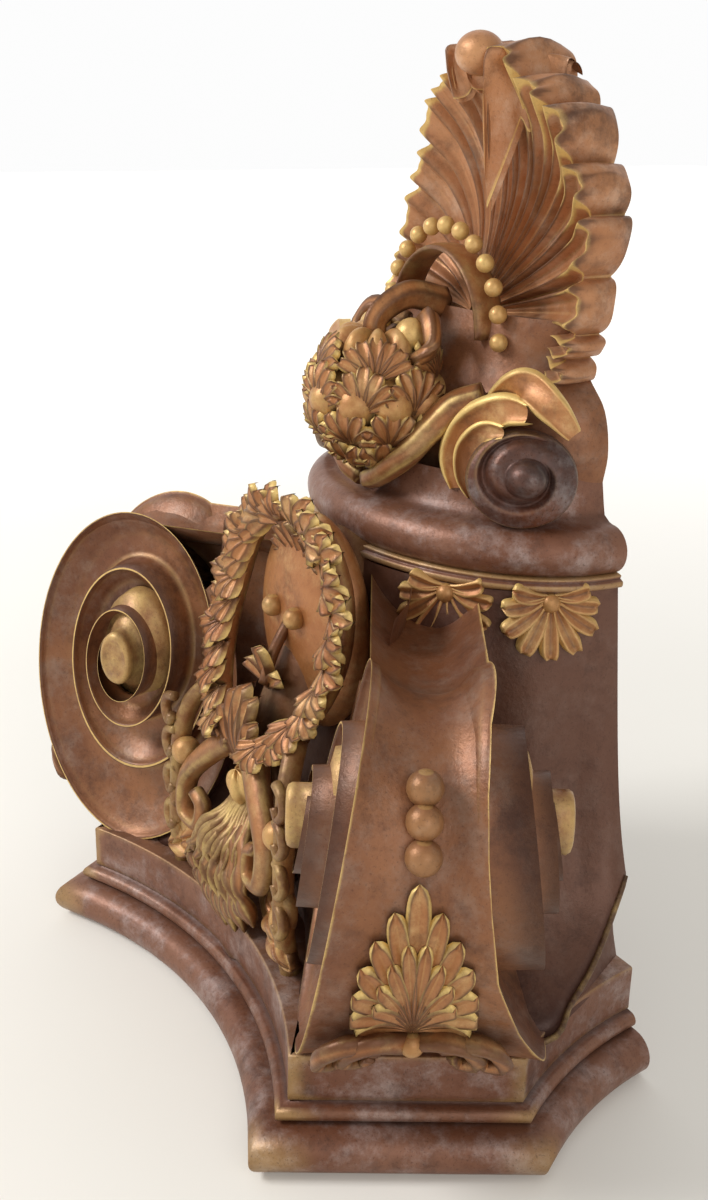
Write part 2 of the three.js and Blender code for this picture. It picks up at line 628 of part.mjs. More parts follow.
geometry.computeBoundingBox();
geometry.translate(0, -(geometry.boundingBox.min.y + geometry.boundingBox.max.y) / 2, 0);
geometry.computeVertexNormals();

const bronze = new THREE.MeshStandardMaterial({ color: 0x7a5138, roughness: 0.5, metalness: 0.25 });
const consoleMesh = new THREE.Mesh(geometry, bronze);
consoleMesh.name = 'console';
const group = new THREE.Group();
group.name = 'wall_console';
group.add(consoleMesh);
export default group;
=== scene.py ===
import math

import bpy
import numpy as np
from mathutils import Matrix, Vector


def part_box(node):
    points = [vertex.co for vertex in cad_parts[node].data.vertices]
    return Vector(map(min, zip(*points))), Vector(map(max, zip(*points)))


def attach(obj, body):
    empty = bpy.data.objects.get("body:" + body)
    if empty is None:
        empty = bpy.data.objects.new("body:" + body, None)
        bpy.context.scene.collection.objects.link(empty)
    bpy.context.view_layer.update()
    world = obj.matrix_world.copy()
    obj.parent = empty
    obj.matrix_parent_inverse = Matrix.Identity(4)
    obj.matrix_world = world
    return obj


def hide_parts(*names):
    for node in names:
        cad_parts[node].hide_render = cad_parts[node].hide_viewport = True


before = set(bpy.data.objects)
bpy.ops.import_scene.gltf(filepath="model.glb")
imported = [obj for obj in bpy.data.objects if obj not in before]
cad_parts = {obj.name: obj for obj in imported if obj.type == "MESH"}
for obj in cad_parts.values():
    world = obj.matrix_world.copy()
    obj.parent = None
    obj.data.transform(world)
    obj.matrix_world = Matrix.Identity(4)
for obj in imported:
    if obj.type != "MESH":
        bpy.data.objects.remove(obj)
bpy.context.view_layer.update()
_, node_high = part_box("console")

MM = 0.001
WALL_Y = node_high[1]

# Shelf plan and profile in mm from the middle plane and the flat back, the same sizes as the solid
SHELF_FRONT_CORNER = (96.5, -148.4)
SHELF_SIDE_CORNER = (141.0, -73.1)
SHELF_FRONT_MID = (0.0, -125.2)
SHELF_SIDE_MID = (126.1, -42.0)
SHELF_WALL_HALF = 116.7
SHELF_TOP = 44.7
FASCIA_FOOT = 25.0
TORUS_OVERHANG = 15.0
TORUS_HEIGHT = 17.6
ROLL_OVERHANG = 5.0
CUSP_DROP, CUSP_HALF = 3.0, 5.0

# Neck and volutes
NECK_HALF, NECK_DEPTH, NECK_Z = 88.0, 70.0, 200.0
ARM_AZIMUTH = math.radians(58)
EYE_REACH, EYE_Z, ARM_OFFSET = 145.9, 131.9, 26.0
SPIRAL_FOOT_RADIUS, HALF_TURN_RATIO, SPIRAL_WIDTH_RATIO = 89.1, 0.765, 0.7
RIM_HALF_TOP, RIM_HALF_FOOT = 22.0, 47.0
RIM_TOP_Z, RIM_FOOT_Z = 195.7, 42.4
TOP_FLATTENING = 0.065
SIDE_RIM_Z = (43, 58, 79, 104, 132, 150, 169, 187, 200)
SIDE_RIM_HALF = (47, 41.3, 31.3, 22.2, 18.3, 16.6, 16, 17, 21)
SCREW_RISE, FLAT_DISH, BAND_DIP, EYE_RISE = 13.0, 9.0, 9.0, 6.0
EYE_HALF_WIDTH, EYE_HALF_HEIGHT = 8.2, 12.5
BAND_START, BAND_END, BAND_ROWS, TUCK_ROWS, TUCK_REACH = -160, 104, 110, 10, 48
CHEEK_OUTER, CHEEK_INNER, CHEEK_FOOT_Z, CHEEK_TOP_Z = 108, 46, 48, 197
BEAD_DEGS, BEAD_RADIUS = (33, 23.5, 14), 6.2
LEAF_ROOT_DEG, DEG_PER_MM = -41, 1.08

# Ring, rosette, scrolls and fan leaf
RING_HALF, RING_DEPTH, RING_Z, RING_RADIUS, FILLET_Z = 90.0, 70.0, 214.0, 9.5, 202.0
ROSETTE_RADIUS, ROSETTE_Z, ROSETTE_DEPTH = 29.0, 264.0, 56.0
SCROLL_CENTRE, SCROLL_RADIUS, SCROLL_TURNS = (71, -34, 244), 20.5, 1.35
ARCH_Z, ARCH_Y, ARCH_HALF, ARCH_RISE = 288, -25.0, 30, 32
PEARL_Y, PEARL_HALF, PEARL_RISE, PEARL_COUNT, PEARL_RADIUS = -26.5, 38.5, 40.5, 13, 3.6
CREST_ROOT_Z, CREST_TOP_Z, CREST_THICKNESS = 282.0, 394.0, 14.0
CREST_LEFT, CREST_RIGHT, CREST_LEAN = 58.0, 66.0, 21.0
CREST_LOBES, CREST_SPREAD = 17, math.radians(118)
HOOD_LEFT, HOOD_RIGHT, HOOD_TOP_Z, HOOD_REACH = -9, 46, 391, 33


def vec(*p):
    return np.array(p, float)


def unit(a):
    return np.asarray(a, float) / np.linalg.norm(a)


def mix(a, b, t):
    return a + (b - a) * t


def smooth(t):
    t = np.clip(t, 0.0, 1.0)
    return t * t * (3 - 2 * t)


def curve(points, count):
    """Smooth line through points, evenly spaced."""
    p = np.array(points, float)
    p = np.vstack([2 * p[0] - p[1], p, 2 * p[-1] - p[-2]])
    out = []
    for i in range(1, len(p) - 2):
        for t in np.linspace(0, 1, 16, endpoint=False):
            a, b, c, d = p[i - 1], p[i], p[i + 1], p[i + 2]
            out.append(0.5 * (2 * b + (c - a) * t + (2 * a - 5 * b + 4 * c - d) * t * t
                              + (3 * b - a - 3 * c + d) * t ** 3))
    out = np.array(out + [p[-2]])
    run = np.concatenate([[0], np.cumsum(np.linalg.norm(np.diff(out, axis=0), axis=1))])
    s = np.linspace(0, run[-1], count)
    return np.column_stack([np.interp(s, run, out[:, k]) for k in range(out.shape[1])])


class Part:
    """Vertices, faces and a gold value for each vertex, gathered for one object."""

    def __init__(self):
        self.points, self.faces, self.gold, self.count = [], [], [], 0

    def grid(self, net, gold=0.0, wrap_v=False, flip=False):
        """Net of points (rows, columns, 3); gold is one number or one for each point."""
        rows, cols = net.shape[:2]
        index = self.count + np.arange(rows * cols).reshape(rows, cols)
        if wrap_v:
            index = np.hstack([index, index[:, :1]])
        a, b, c, d = index[:-1, :-1], index[:-1, 1:], index[1:, 1:], index[1:, :-1]
        quads = np.stack([a, b, c, d] if not flip else [a, d, c, b], -1).reshape(-1, 4)
        self.points.append(net.reshape(-1, 3))
        self.faces.extend(quads.tolist())
        self.gold.append(np.broadcast_to(np.asarray(gold, float), (rows, cols)).reshape(-1))
        self.count += rows * cols
        return index

    def fan(self, ring, centre, gold=0.0):
        """Closes a ring of points with triangles to its centre."""
        self.points.append(np.array([centre], float))
        self.gold.append(np.array([gold], float))
        hub = self.count
        self.count += 1
        ring = list(ring)
        for a, b in zip(ring, ring[1:] + ring[:1]):
            self.faces.append([hub, int(a), int(b)])

    def mirror(self):
        """Adds the same on the other side of the middle plane."""
        points = np.vstack(self.points)
        shift = self.count
        self.points.append(points * vec(-1, 1, 1))
        self.faces.extend([[v + shift for v in reversed(f)] for f in self.faces])
        self.gold.append(np.concatenate(self.gold))
        self.count += shift
        return self

    def rod(self, path, radii, sides=16, up=(0, 0, 1), gold=0.0, ridges=0, relief=0.0):
        """Round or oval bar along a path; radii(t) gives width and height; ridges run along it."""
        path = np.asarray(path, float)
        n = len(path)
        net = np.zeros((n, sides, 3))
        golden = np.zeros((n, sides))
        for i in range(n):
            along = unit(path[min(i + 1, n - 1)] - path[max(i - 1, 0)])
            side = np.cross(along, up)
            if np.linalg.norm(side) < 0.05:
                side = np.cross(along, (0, 1, 0.2))
            side = unit(side)
            top = np.cross(side, along)
            wide, high = radii(i / (n - 1))
            for j in range(sides):
                a = 2 * math.pi * j / sides
                swell = 1 + relief * math.cos(ridges * a)
                net[i, j] = (path[i] + side * wide * math.cos(a) * swell
                             + top * high * math.sin(a) * swell)
                golden[i, j] = gold * (0.75 + 0.25 * math.cos(ridges * a)) if ridges else gold
        index = self.grid(net, golden, wrap_v=True)
        self.fan(index[0, :-1][::-1], path[0], gold)
        self.fan(index[-1, :-1], path[-1], gold)

    def bead(self, centre, axes, around=20, rows=12, gold=0.0, shape=None):
        """Ellipsoid; shape(t, a) scales its radius."""
        centre = np.asarray(centre, float)
        net = np.zeros((rows + 1, around, 3))
        for i in range(rows + 1):
            t = math.pi * i / rows
            for j in range(around):
                a = 2 * math.pi * j / around
                k = shape(t, a) if shape else 1.0
                net[i, j] = centre + k * (
                    np.asarray(axes[0]) * math.sin(t) * math.cos(a)
                    + np.asarray(axes[1]) * math.sin(t) * math.sin(a)
                    + np.asarray(axes[2]) * math.cos(t))
        self.grid(net, gold, wrap_v=True, flip=True)

    def ball(self, centre, r, gold=0.0, around=20, rows=12):
        self.bead(centre, [vec(r, 0, 0), vec(0, r, 0), vec(0, 0, r)], around, rows, gold)

    def leaf(self, spine, out, half, lobes, thick, gold, nu=56, nv=29):
        """Acanthus leaf along a spine: puffed lobes parted by slanting grooves, midrib, notched edge."""
        path = curve(spine, nu)
        out = unit(out)
        net = np.zeros((nu, nv, 3))
        golden = np.zeros((nu, nv))
        low = np.zeros((nu, nv, 3))
        vs = np.linspace(-1, 1, nv)
        for i in range(nu):
            u = i / (nu - 1)
            along = unit(path[min(i + 1, nu - 1)] - path[max(i - 1, 0)])
            side = unit(np.cross(along, out))
            up = unit(np.cross(side, along))
            envelope = math.sin(math.pi * (0.1 + 0.9 * min(u + 0.02, 1) ** 1.15)) ** 0.62
            for j, v in enumerate(vs):
                phase = lobes * u - 0.9 * (1 - abs(v)) * 0.55
                wave = abs(math.sin(math.pi * phase))
                edge = 0.6 + 0.4 * abs(math.sin(math.pi * lobes * u)) ** 0.7
                width = max(half * envelope * edge, half * 0.12 * 0.5)
                puff = (0.25 + 0.75 * wave ** 0.55) * (1 - 0.45 * abs(v) ** 3)
                groove = math.exp(-(v / 0.11) ** 2)
                rise = thick * (puff - 0.5 * groove)
                fall = -0.3 * half * abs(v) ** 1.3 * (1 - u)
                base = path[i] + side * (width * v) + along * fall
                net[i, j] = base + up * rise
                low[i, j] = base - up * thick * 0.9
                golden[i, j] = gold * (0.35 + 0.65 * puff) * (0.6 + 0.4 * smooth(abs(v) * 1.6))
        top = self.grid(net, golden, flip=True)
        bottom = self.grid(low, 0.1 * gold)
        for a, b in ((top[:, 0], bottom[:, 0]), (bottom[:, -1], top[:, -1]),
                     (bottom[0], top[0]), (top[-1], bottom[-1])):
            for k in range(len(a) - 1):
                self.faces.append([int(a[k]), int(a[k + 1]), int(b[k + 1]), int(b[k])][::-1])

    def finish(self, name, material):
        """Makes the object, kept inside the wall plane and above the table."""
        mesh = bpy.data.meshes.new(name)
        points = np.vstack(self.points) * MM + vec(0, WALL_Y, 0)
        points[:, 1] = np.minimum(points[:, 1], WALL_Y)
        points[:, 2] = np.maximum(points[:, 2], 0.0)
        mesh.from_pydata([Vector(p) for p in points], [], self.faces)
        mesh.update()
        layer = mesh.attributes.new("gold", "FLOAT", "POINT")
        layer.data.foreach_set("value", np.concatenate(self.gold).astype(np.float32))
        mesh.polygons.foreach_set("use_smooth", [True] * len(mesh.polygons))
        mesh.materials.append(material)
        thing = bpy.data.objects.new(name, mesh)
        bpy.context.collection.objects.link(thing)
        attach(thing, "root")
        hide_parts("console")


def palm(part, place, fingers, thick, gold, rows=30, cols=11):
    """Leaf of rounded, hollowed fingers from one root; place(side, along, out) gives the point.

    Each finger has its turn from the middle, length, half-width and the lift of its tip."""
    for turn, length, half, lift in fingers:
        net = np.zeros((rows, cols, 3))
        golden = np.zeros((rows, cols))
        for i in range(rows):
            t = i / (rows - 1)
            tip = max(0, (t - 0.8) / 0.2)
            width = half * (0.25 + 0.75 * smooth(t * 1.5)) * math.sqrt(max(0.0, 1 - tip ** 2.4))
            bend = turn * (0.75 + 0.25 * t)
            along, side = length * t * math.cos(bend), length * t * math.sin(bend)
            for j, v in enumerate(np.linspace(-1, 1, cols)):
                across = max(width, 0.05) * v
                ridge = 0.55 + 0.45 * abs(v) ** 2 - 0.25 * math.exp(-(v / 0.25) ** 2)
                curl = lift * t * t
                fall = thick * 1.3 if abs(v) > 0.99 or t > 0.999 else 0
                net[i, j] = place(side + across * math.cos(bend), along - across * math.sin(bend),
                                  thick * ridge * (0.5 + 0.5 * t) + curl - fall)
                golden[i, j] = gold * (0.2 + 0.8 * abs(v) ** 2) * (0.55 + 0.45 * t)
        part.grid(net, golden, flip=True)


# Materials
def feed(tree, socket, value):
    """Links another socket to this one, or sets a plain value on it."""
    if isinstance(value, bpy.types.NodeSocket):
        tree.links.new(value, socket)
    else:
        socket.default_value = value


def colour_mix(tree, fac, a, b):
    n = tree.nodes.new("ShaderNodeMix")
    n.data_type = "RGBA"
    for number, value in ((0, fac), (6, a), (7, b)):
        feed(tree, n.inputs[number], value)
    return n.outputs[2]


def ramp(tree, source, low, high):
    """Smooth step of the source from 0 at low to 1 at high."""
    n = tree.nodes.new("ShaderNodeMapRange")
    n.interpolation_type = "SMOOTHSTEP"
    tree.links.new(source, n.inputs[0])
    n.inputs[1].default_value = low
    n.inputs[2].default_value = high
    return n.outputs[0]


def maths(tree, kind, a, b):
    n = tree.nodes.new("ShaderNodeMath")
    n.operation = kind
    n.use_clamp = True
    feed(tree, n.inputs[0], a)
    feed(tree, n.inputs[1], b)
    return n.outputs[0]


def layer(tree, colour, tint, source, low, high, amount):
    """Tint over the colour where the source passes from low to high, by amount at most."""
    cover = maths(tree, "MULTIPLY", ramp(tree, source, low, high), amount)
    return colour_mix(tree, cover, colour, tint)


def srgb(r, g, b):
    def linear(c):
        c /= 255
        return c / 12.92 if c <= 0.04045 else ((c + 0.055) / 1.055) ** 2.4
    return (linear(r), linear(g), linear(b), 1.0)


def noise(tree, coord, scale, detail=4.0, rough=0.55):
    n = tree.nodes.new("ShaderNodeTexNoise")
    n.inputs["Scale"].default_value = scale
    n.inputs["Detail"].default_value = detail
    n.inputs["Roughness"].default_value = rough
    tree.links.new(coord, n.inputs["Vector"])
    return n.outputs["Fac"]


def patina(name, base, dust_and_sheen, recess, gilt, stipple, dust_and_sheen_amount, metal=0.35):
    """Painted bronze with dry-brushed high spots, glazed recesses and worn gold leaf; pale patches are dust
    and painted sheen, creases get painted shade.
    """
    material = bpy.data.materials.new(name)
    material.use_nodes = True
    tree = material.node_tree
    shader = tree.nodes["Principled BSDF"]
    coord = tree.nodes.new("ShaderNodeTexCoord").outputs["Object"]
    geometry = tree.nodes.new("ShaderNodeNewGeometry")
    gold = tree.nodes.new("ShaderNodeAttribute")
    gold.attribute_name = "gold"
    cloudy = noise(tree, coord, 55.0, 8.0, 0.72)
    broad = noise(tree, coord, 14.0, 6.0, 0.65)
    streaks = noise(tree, coord, 95.0, 5.0, 0.7)
    stains = noise(tree, coord, 19.0, 7.0, 0.75)
    fine = noise(tree, coord, 420.0, 3.0, 0.7)
    speck = noise(tree, coord, 900.0, 2.0, 0.8)
    pointy = geometry.outputs["Pointiness"]
    # Layers over the base, each fading in between two levels of its source up to an amount; the dark layer
    # where pointiness is low is painted shade in creases and hollows
    colour = base
    for tint, source, low, high, amount in (
            # The pale patches are partly dust and partly painted sheen
            (recess, broad, 0.36, 0.66, 0.8), (dust_and_sheen, cloudy, 0.44, 0.76, dust_and_sheen_amount),
            (DARK, streaks, 0.5, 0.72, 0.35), (DARK, stains, 0.52, 0.7, 0.6),
            (DARK, pointy, 0.495, 0.44, 0.65), (gilt, pointy, 0.515, 0.57, 0.3)):
        colour = layer(tree, colour, tint, source, low, high, amount)
    wear = maths(tree, "MULTIPLY", streaks, 0.5)
    worn = ramp(tree, maths(tree, "ADD", gold.outputs["Fac"], wear), 0.66, 1.05)
    colour = colour_mix(tree, worn, colour, gilt)
    colour = layer(tree, colour, DARK, speck, 0.56, 0.72, stipple)
    tree.links.new(colour, shader.inputs["Base Color"])
    shader.inputs["Metallic"].default_value = metal
    rough = tree.nodes.new("ShaderNodeMapRange")
    tree.links.new(streaks, rough.inputs[0])
    rough.inputs[3].default_value = 0.3
    rough.inputs[4].default_value = 0.58
    tree.links.new(rough.outputs[0], shader.inputs["Roughness"])
    bump = tree.nodes.new("ShaderNodeBump")
    bump.inputs["Strength"].default_value = 0.4
    bump.inputs["Distance"].default_value = 0.0005
    tree.links.new(fine, bump.inputs["Height"])
    tree.links.new(bump.outputs[0], shader.inputs["Normal"])
    return material


COPPER = srgb(142, 94, 60)
# Pale lilac grey of the patches of dust and painted sheen
LILAC = srgb(152, 134, 120)
RUST = srgb(104, 60, 38)
DARK = srgb(52, 25, 16)
GOLD = srgb(214, 180, 112)
PALE_GOLD = srgb(222, 190, 118)
bronze = patina("bronze_paint", COPPER, LILAC, RUST, GOLD, stipple=0.35, dust_and_sheen_amount=0.5)
gilded = patina("gold_leaf", srgb(168, 114, 68), srgb(206, 172, 118), srgb(138, 80, 40), PALE_GOLD,
                stipple=0.2, dust_and_sheen_amount=0.7)
# Shelf and ring bronze with many pale patches: dust and painted sheen
dust_and_sheen_bronze = patina("dry_brushed_bronze_with_painted_sheen", srgb(128, 88, 68), srgb(168, 150, 144), RUST, GOLD,
               stipple=0.45, dust_and_sheen_amount=0.8)
# Darker copy of the bronze for the bell: painted shade
painted_shade_bronze = patina("bronze_with_painted_shade", srgb(100, 66, 50), srgb(122, 98, 86), srgb(76, 42, 29), GOLD,
                stipple=0.35, dust_and_sheen_amount=0.5)
# Lighter copy of the bronze for the fan leaf at the top: painted light
painted_light_bronze = patina("bronze_with_painted_light", srgb(182, 130, 90), srgb(200, 172, 148), srgb(156, 100, 60), GOLD,
              stipple=0.25, dust_and_sheen_amount=0.6)
blackened = patina("dark_boss", srgb(70, 58, 56), srgb(150, 146, 146), srgb(112, 62, 36), GOLD,
                   stipple=0.6, dust_and_sheen_amount=0.6, metal=0.6)


# Shelf
def arc(a, b, c, count):
    """Points of the circle through a, b and c, from a to c."""
    a, b, c = vec(*a), vec(*b), vec(*c)
    d = 2 * (a[0] * (b[1] - c[1]) + b[0] * (c[1] - a[1]) + c[0] * (a[1] - b[1]))
    sa, sb, sc = a @ a, b @ b, c @ c
    centre = vec((sa * (b[1] - c[1]) + sb * (c[1] - a[1]) + sc * (a[1] - b[1])) / d,
                 (sa * (c[0] - b[0]) + sb * (a[0] - c[0]) + sc * (b[0] - a[0])) / d)
    r = np.linalg.norm(a - centre)
    start = math.atan2(*(a - centre)[::-1])
    sweep = (math.atan2(*(c - centre)[::-1]) - start + math.pi) % (2 * math.pi) - math.pi
    t = start + sweep * np.linspace(0, 1, count)
    return np.column_stack([centre[0] + r * np.cos(t), centre[1] + r * np.sin(t)])


side_arc = arc((SHELF_WALL_HALF, 0), SHELF_SIDE_MID, SHELF_SIDE_CORNER, 24)
corner_face = np.linspace(SHELF_SIDE_CORNER, SHELF_FRONT_CORNER, 14)[1:-1]
front_arc = arc(SHELF_FRONT_CORNER, SHELF_FRONT_MID, (-SHELF_FRONT_CORNER[0], SHELF_FRONT_CORNER[1]), 61)
half_plan = np.vstack([side_arc, corner_face])
plan = np.vstack([half_plan, front_arc, (half_plan * vec(-1, 1))[::-1]])
step = np.diff(plan, axis=0)
step /= np.linalg.norm(step, axis=1)[:, None]
face_normal = np.column_stack([-step[:, 1], step[:, 0]])
before = np.vstack([face_normal[:1], face_normal])
after = np.vstack([face_normal, face_normal[-1:]])
miter = (before + after) / (1 + (before * after).sum(1))[:, None]
miter[0] = (1 / abs(miter[0][0]), 0)
miter[-1] = (-1 / abs(miter[-1][0]), 0)


def shelf_line(offset, z, cusp=0.0):
    """Outline of the shelf set off by offset at height z, dropped at the middle of the front."""
    line = plan + miter * offset
    rise = -cusp * np.exp(-(plan[:, 0] / CUSP_HALF) ** 2) * (plan[:, 1] < -100)
    return np.column_stack([line, z + rise])


# Profile as distance off the fascia, height and drop of the front's middle
torus_r = TORUS_HEIGHT / 2
profile = [(-30, 0.0, 0), (TORUS_OVERHANG - torus_r, 0.0, 0)]
for deg in range(-80, 91, 10):
    profile.append((TORUS_OVERHANG - torus_r + torus_r * math.cos(math.radians(deg)),
                    torus_r + torus_r * math.sin(math.radians(deg)), 0))
roll_r = (FASCIA_FOOT - TORUS_HEIGHT) / 2 - 0.6
profile += [(1.6, TORUS_HEIGHT + 0.1, 0), (1.2, TORUS_HEIGHT + 0.5, 0)]
for deg in range(-80, 81, 16):
    profile.append((ROLL_OVERHANG - roll_r + roll_r * math.cos(math.radians(deg)),
                    TORUS_HEIGHT + 0.5 + roll_r + roll_r * math.sin(math.radians(deg)), 0))
profile += [(-0.8, FASCIA_FOOT - 0.5, CUSP_DROP), (-0.7, FASCIA_FOOT - 0.1, CUSP_DROP),
            (-0.1, FASCIA_FOOT, CUSP_DROP), (0.1, FASCIA_FOOT + 0.4, CUSP_DROP),
            (0, FASCIA_FOOT + 3, 0), (0, SHELF_TOP - 4, 0), (0, SHELF_TOP - 0.8, 0),
            (-0.3, SHELF_TOP - 0.2, 0), (-0.9, SHELF_TOP, 0), (-60, SHELF_TOP, 0)]
shelf = Part()
net = np.array([shelf_line(*row) for row in profile])
shelf_gold = np.array([[0.25 if abs(z - FASCIA_FOOT) < 0.6 or z > SHELF_TOP - 1 else 0.0]
                       for _, z, _ in profile])
shelf.grid(net, np.repeat(shelf_gold, net.shape[1], 1), flip=True)
underside = np.column_stack([plan * vec(0.3, 0.3), np.zeros(len(plan))])
shelf.grid(np.stack([shelf_line(-30, 0), underside]))
shelf.grid(net[:, [0, -1]].transpose(1, 0, 2) * vec(0.995, 1, 1) - vec(0, 0.2, 0), 0.0)
shelf.finish("shelf", dust_and_sheen_bronze)

# Volutes: OUT points along the right arm, FRONT to its face beside the cartouche
OUT = vec(math.sin(ARM_AZIMUTH), -math.cos(ARM_AZIMUTH), 0)
FRONT = vec(-math.cos(ARM_AZIMUTH), -math.sin(ARM_AZIMUTH), 0)


def arm_point(reach, across, z):
    """Point of the right arm, reach along it and across to its front."""
    return OUT * reach + FRONT * (across + ARM_OFFSET) + vec(0, 0, z)


def rim_half(z):
    """Half-width of the outer turn on the front face."""
    return mix(RIM_HALF_FOOT, RIM_HALF_TOP, (z - RIM_FOOT_Z) / (RIM_TOP_Z - RIM_FOOT_Z))


def side_half(z):
    """Half-width of the outer turn on the side-facing face: waisted, wide at its foot."""
    return float(np.interp(z, SIDE_RIM_Z, SIDE_RIM_HALF))


def level(deg, z, way):
    """Distance of the ribbon's edge from the arm's middle plane."""
    plain = rim_half(z) + screw(deg)
    if way > 0:
        return plain
    return mix(side_half(z), plain, smooth((deg - 120) / 110))


def spiral_radius(deg):
    """Radius of the spiral, smaller with each half turn and flattened at its first top."""
    if deg < -90:
        return SPIRAL_FOOT_RADIUS * (1 - 0.05 * ((-90 - deg) / 60) ** 2)
    flat = TOP_FLATTENING * math.cos(math.radians(deg - 90)) ** 2 if 0 < deg < 180 else 0
    return SPIRAL_FOOT_RADIUS * HALF_TURN_RATIO ** ((deg + 90) / 180) * (1 - flat)


def spiral_plan(deg, scale=1.0):
    """Reach and height of the spiral at an angle."""
    r = spiral_radius(deg) * scale
    return (EYE_REACH + SPIRAL_WIDTH_RATIO * r * math.cos(math.radians(deg)),
            EYE_Z + r * math.sin(math.radians(deg)))


def screw(deg):
    """How far the spiral has risen out of its face."""
    return SCREW_RISE * min(max((deg - 180) / 630, 0), 1)


def spiral_face(part, way):
    """Stepped spiral with its eye on one face of the arm; way is 1 in front and -1 at the side."""
    steps, start, turns = 72, -215, 2.953
    parts = [0.0, 0.012, 0.03, 0.05, 0.1, 0.2, 0.34, 0.5, 0.66, 0.8, 0.9, 0.95, 0.972, 0.985, 1.0]
    rows = int(steps * turns)
    net = np.zeros((rows + 1, len(parts), 3))
    golden = np.zeros((rows + 1, len(parts)))
    for i in range(rows + 1):
        deg = start + 360 * i / steps
        fade = smooth((deg - start) / 90)
        dish = FLAT_DISH * (0.1 + 0.9 * fade)
        outer, inner = spiral_radius(deg), spiral_radius(deg + 360)
        for j, p in enumerate(parts):
            reach, z = spiral_plan(deg, mix(1, inner / outer, p))
            edge, following = level(deg, z, way), level(deg + 360, z, way)
            bowl = edge - dish * (0.35 + 0.65 * smooth((p - 0.04) / 0.5))
            if p <= 0.03:
                rise = edge
            elif p < 0.94:
                rise = mix(edge, bowl, smooth((p - 0.03) / 0.05))
            else:
                rise = mix(bowl, following, smooth((p - 0.94) / 0.03))
            net[i, j] = arm_point(reach, way * rise, z)
            golden[i, j] = (0.7 if p < 0.02 or p > 0.98 else 0.1) * fade
    part.grid(net, golden, flip=way < 0)
    reach, z = spiral_plan(start + 360 * turns)
    centre = (mix(reach, EYE_REACH, 0.8), mix(z, EYE_Z, 0.8))
    crown = SCREW_RISE + EYE_RISE
    rings = []
    for out, scale in ((-6, 2.2), (2, 2.1), (4, 1.5), (SCREW_RISE - 4, 1.25), (SCREW_RISE - 3, 1.0),
                       (SCREW_RISE + 2, 1.0), (crown - 2, 1.0), (crown - 0.6, 0.93), (crown, 0.78),
                       (crown - 0.9, 0.62), (crown - 0.7, 0.3), (crown - 0.4, 0.02)):
        rings.append([arm_point(centre[0] + EYE_HALF_WIDTH * scale * math.cos(a),
                                way * (rim_half(centre[1]) + out),
                                centre[1] + EYE_HALF_HEIGHT * scale * math.sin(a))
                      for a in np.linspace(0, 2 * math.pi, 36, endpoint=False)])
    part.grid(np.array(rings), 0.55, wrap_v=True, flip=way < 0)


def band(part):
    """Dished band round the arm's end, tucked in under the ring at its top."""
    across = np.linspace(-1, 1, 25)
    degs = np.append(np.linspace(BAND_START, BAND_END, BAND_ROWS), np.full(TUCK_ROWS, float(BAND_END)))
    net = np.zeros((len(degs), len(across), 3))
    for i, deg in enumerate(degs):
        top = max(0.0, math.sin(math.radians(deg)))
        for j, t in enumerate(across):
            fade = 0.15 + 0.85 * smooth((deg + 95) / 45)
            dip = BAND_DIP * (0.5 + 0.9 * top) * (1 - abs(t) ** 2.2) * fade
            reach, z = spiral_plan(deg, 1 - dip / spiral_radius(deg))
            inward = max(0, i - BAND_ROWS + 1) / TUCK_ROWS
            half = rim_half(z) if t > 0 else side_half(z)
            net[i, j] = arm_point(mix(reach, TUCK_REACH, inward), t * half, z + 3 * inward)
    part.grid(net, np.where(np.abs(across) > 0.97, 0.7, 0.0)[None, :], flip=True)


volutes = Part()
spiral_face(volutes, 1)
spiral_face(volutes, -1)
band(volutes)
cheek = np.array([[arm_point(mix(CHEEK_OUTER, CHEEK_INNER, t),
                             rim_half(z) - mix(8, 10, t) - 6 * math.sin(math.pi * t), z)
                   for t in np.linspace(0, 1, 12)]
                  for z in np.linspace(CHEEK_FOOT_Z, CHEEK_TOP_Z, 30)])
volutes.grid(cheek, 0.0, flip=True)
volutes.mirror().finish("volutes", bronze)


def band_point(deg, out, across=0.0):
    """Point beside the middle of the band, out mm off the outer turn."""
    reach, z = spiral_plan(deg, 1 + out / spiral_radius(deg))
    return arm_point(reach, across, z)


beads = Part()
for deg in BEAD_DEGS:
    beads.ball(band_point(deg, -3, 4), BEAD_RADIUS, 0.25, 24, 14)
beads.mirror().finish("band_beads", bronze)
ornament = Part()


def on_band(side, along, out):
    """Point over the band, from the leaf's root, in mm across, up and out."""
    deg = LEAF_ROOT_DEG + along * DEG_PER_MM
    edge = abs(side - 5) / rim_half(band_point(deg, 0)[2])
    return band_point(deg, out - BAND_DIP * 0.45 * (1 - min(edge, 1) ** 2.2) + 1.5, 5 - side)


# Fingers as turn, length and half-width; the upper row lies over the lower one
LOWER_FINGERS = ((0, 45, 4.2), (0.2, 39, 3.8), (0.42, 34, 3.8), (0.66, 30, 3.7), (0.92, 26, 3.5),
                 (1.2, 23, 3.3), (1.5, 20, 3.0))
UPPER_FINGERS = ((0.1, 31, 2.8), (0.31, 27, 2.8), (0.55, 23, 2.6), (0.8, 19, 2.5))
fingers = [(turn * way, length, half, lift)
           for row, lift in ((LOWER_FINGERS, 2.5), (UPPER_FINGERS, 4.5))
           for turn, length, half in row
           for way in ((-1, 1) if turn else (1,))]
palm(ornament, on_band, fingers, 3.2, 0.85)
CURL = ((3, -4, 2, 2), (12, 1, 6, 0), (20, -1, 7, 0), (23, -8, 7, 0), (17, -11, 6, 0), (14, -6, 7, 0))
for way in (-1, 1):
    for turn in (0, 1):
        path = [on_band(way * (side + 9 * turn), along - sink * turn, out)
                for side, along, out, sink in CURL]
        ornament.rod(curve(path, 40), lambda t: (4.4 - 2.4 * t, 4 - 2 * t), 12, gold=0.45, ridges=3,
                     relief=0.14)
ornament.ball(on_band(0, -3, 4), 4.5, 0.4)
ornament.mirror().finish("band_ornament", gilded)

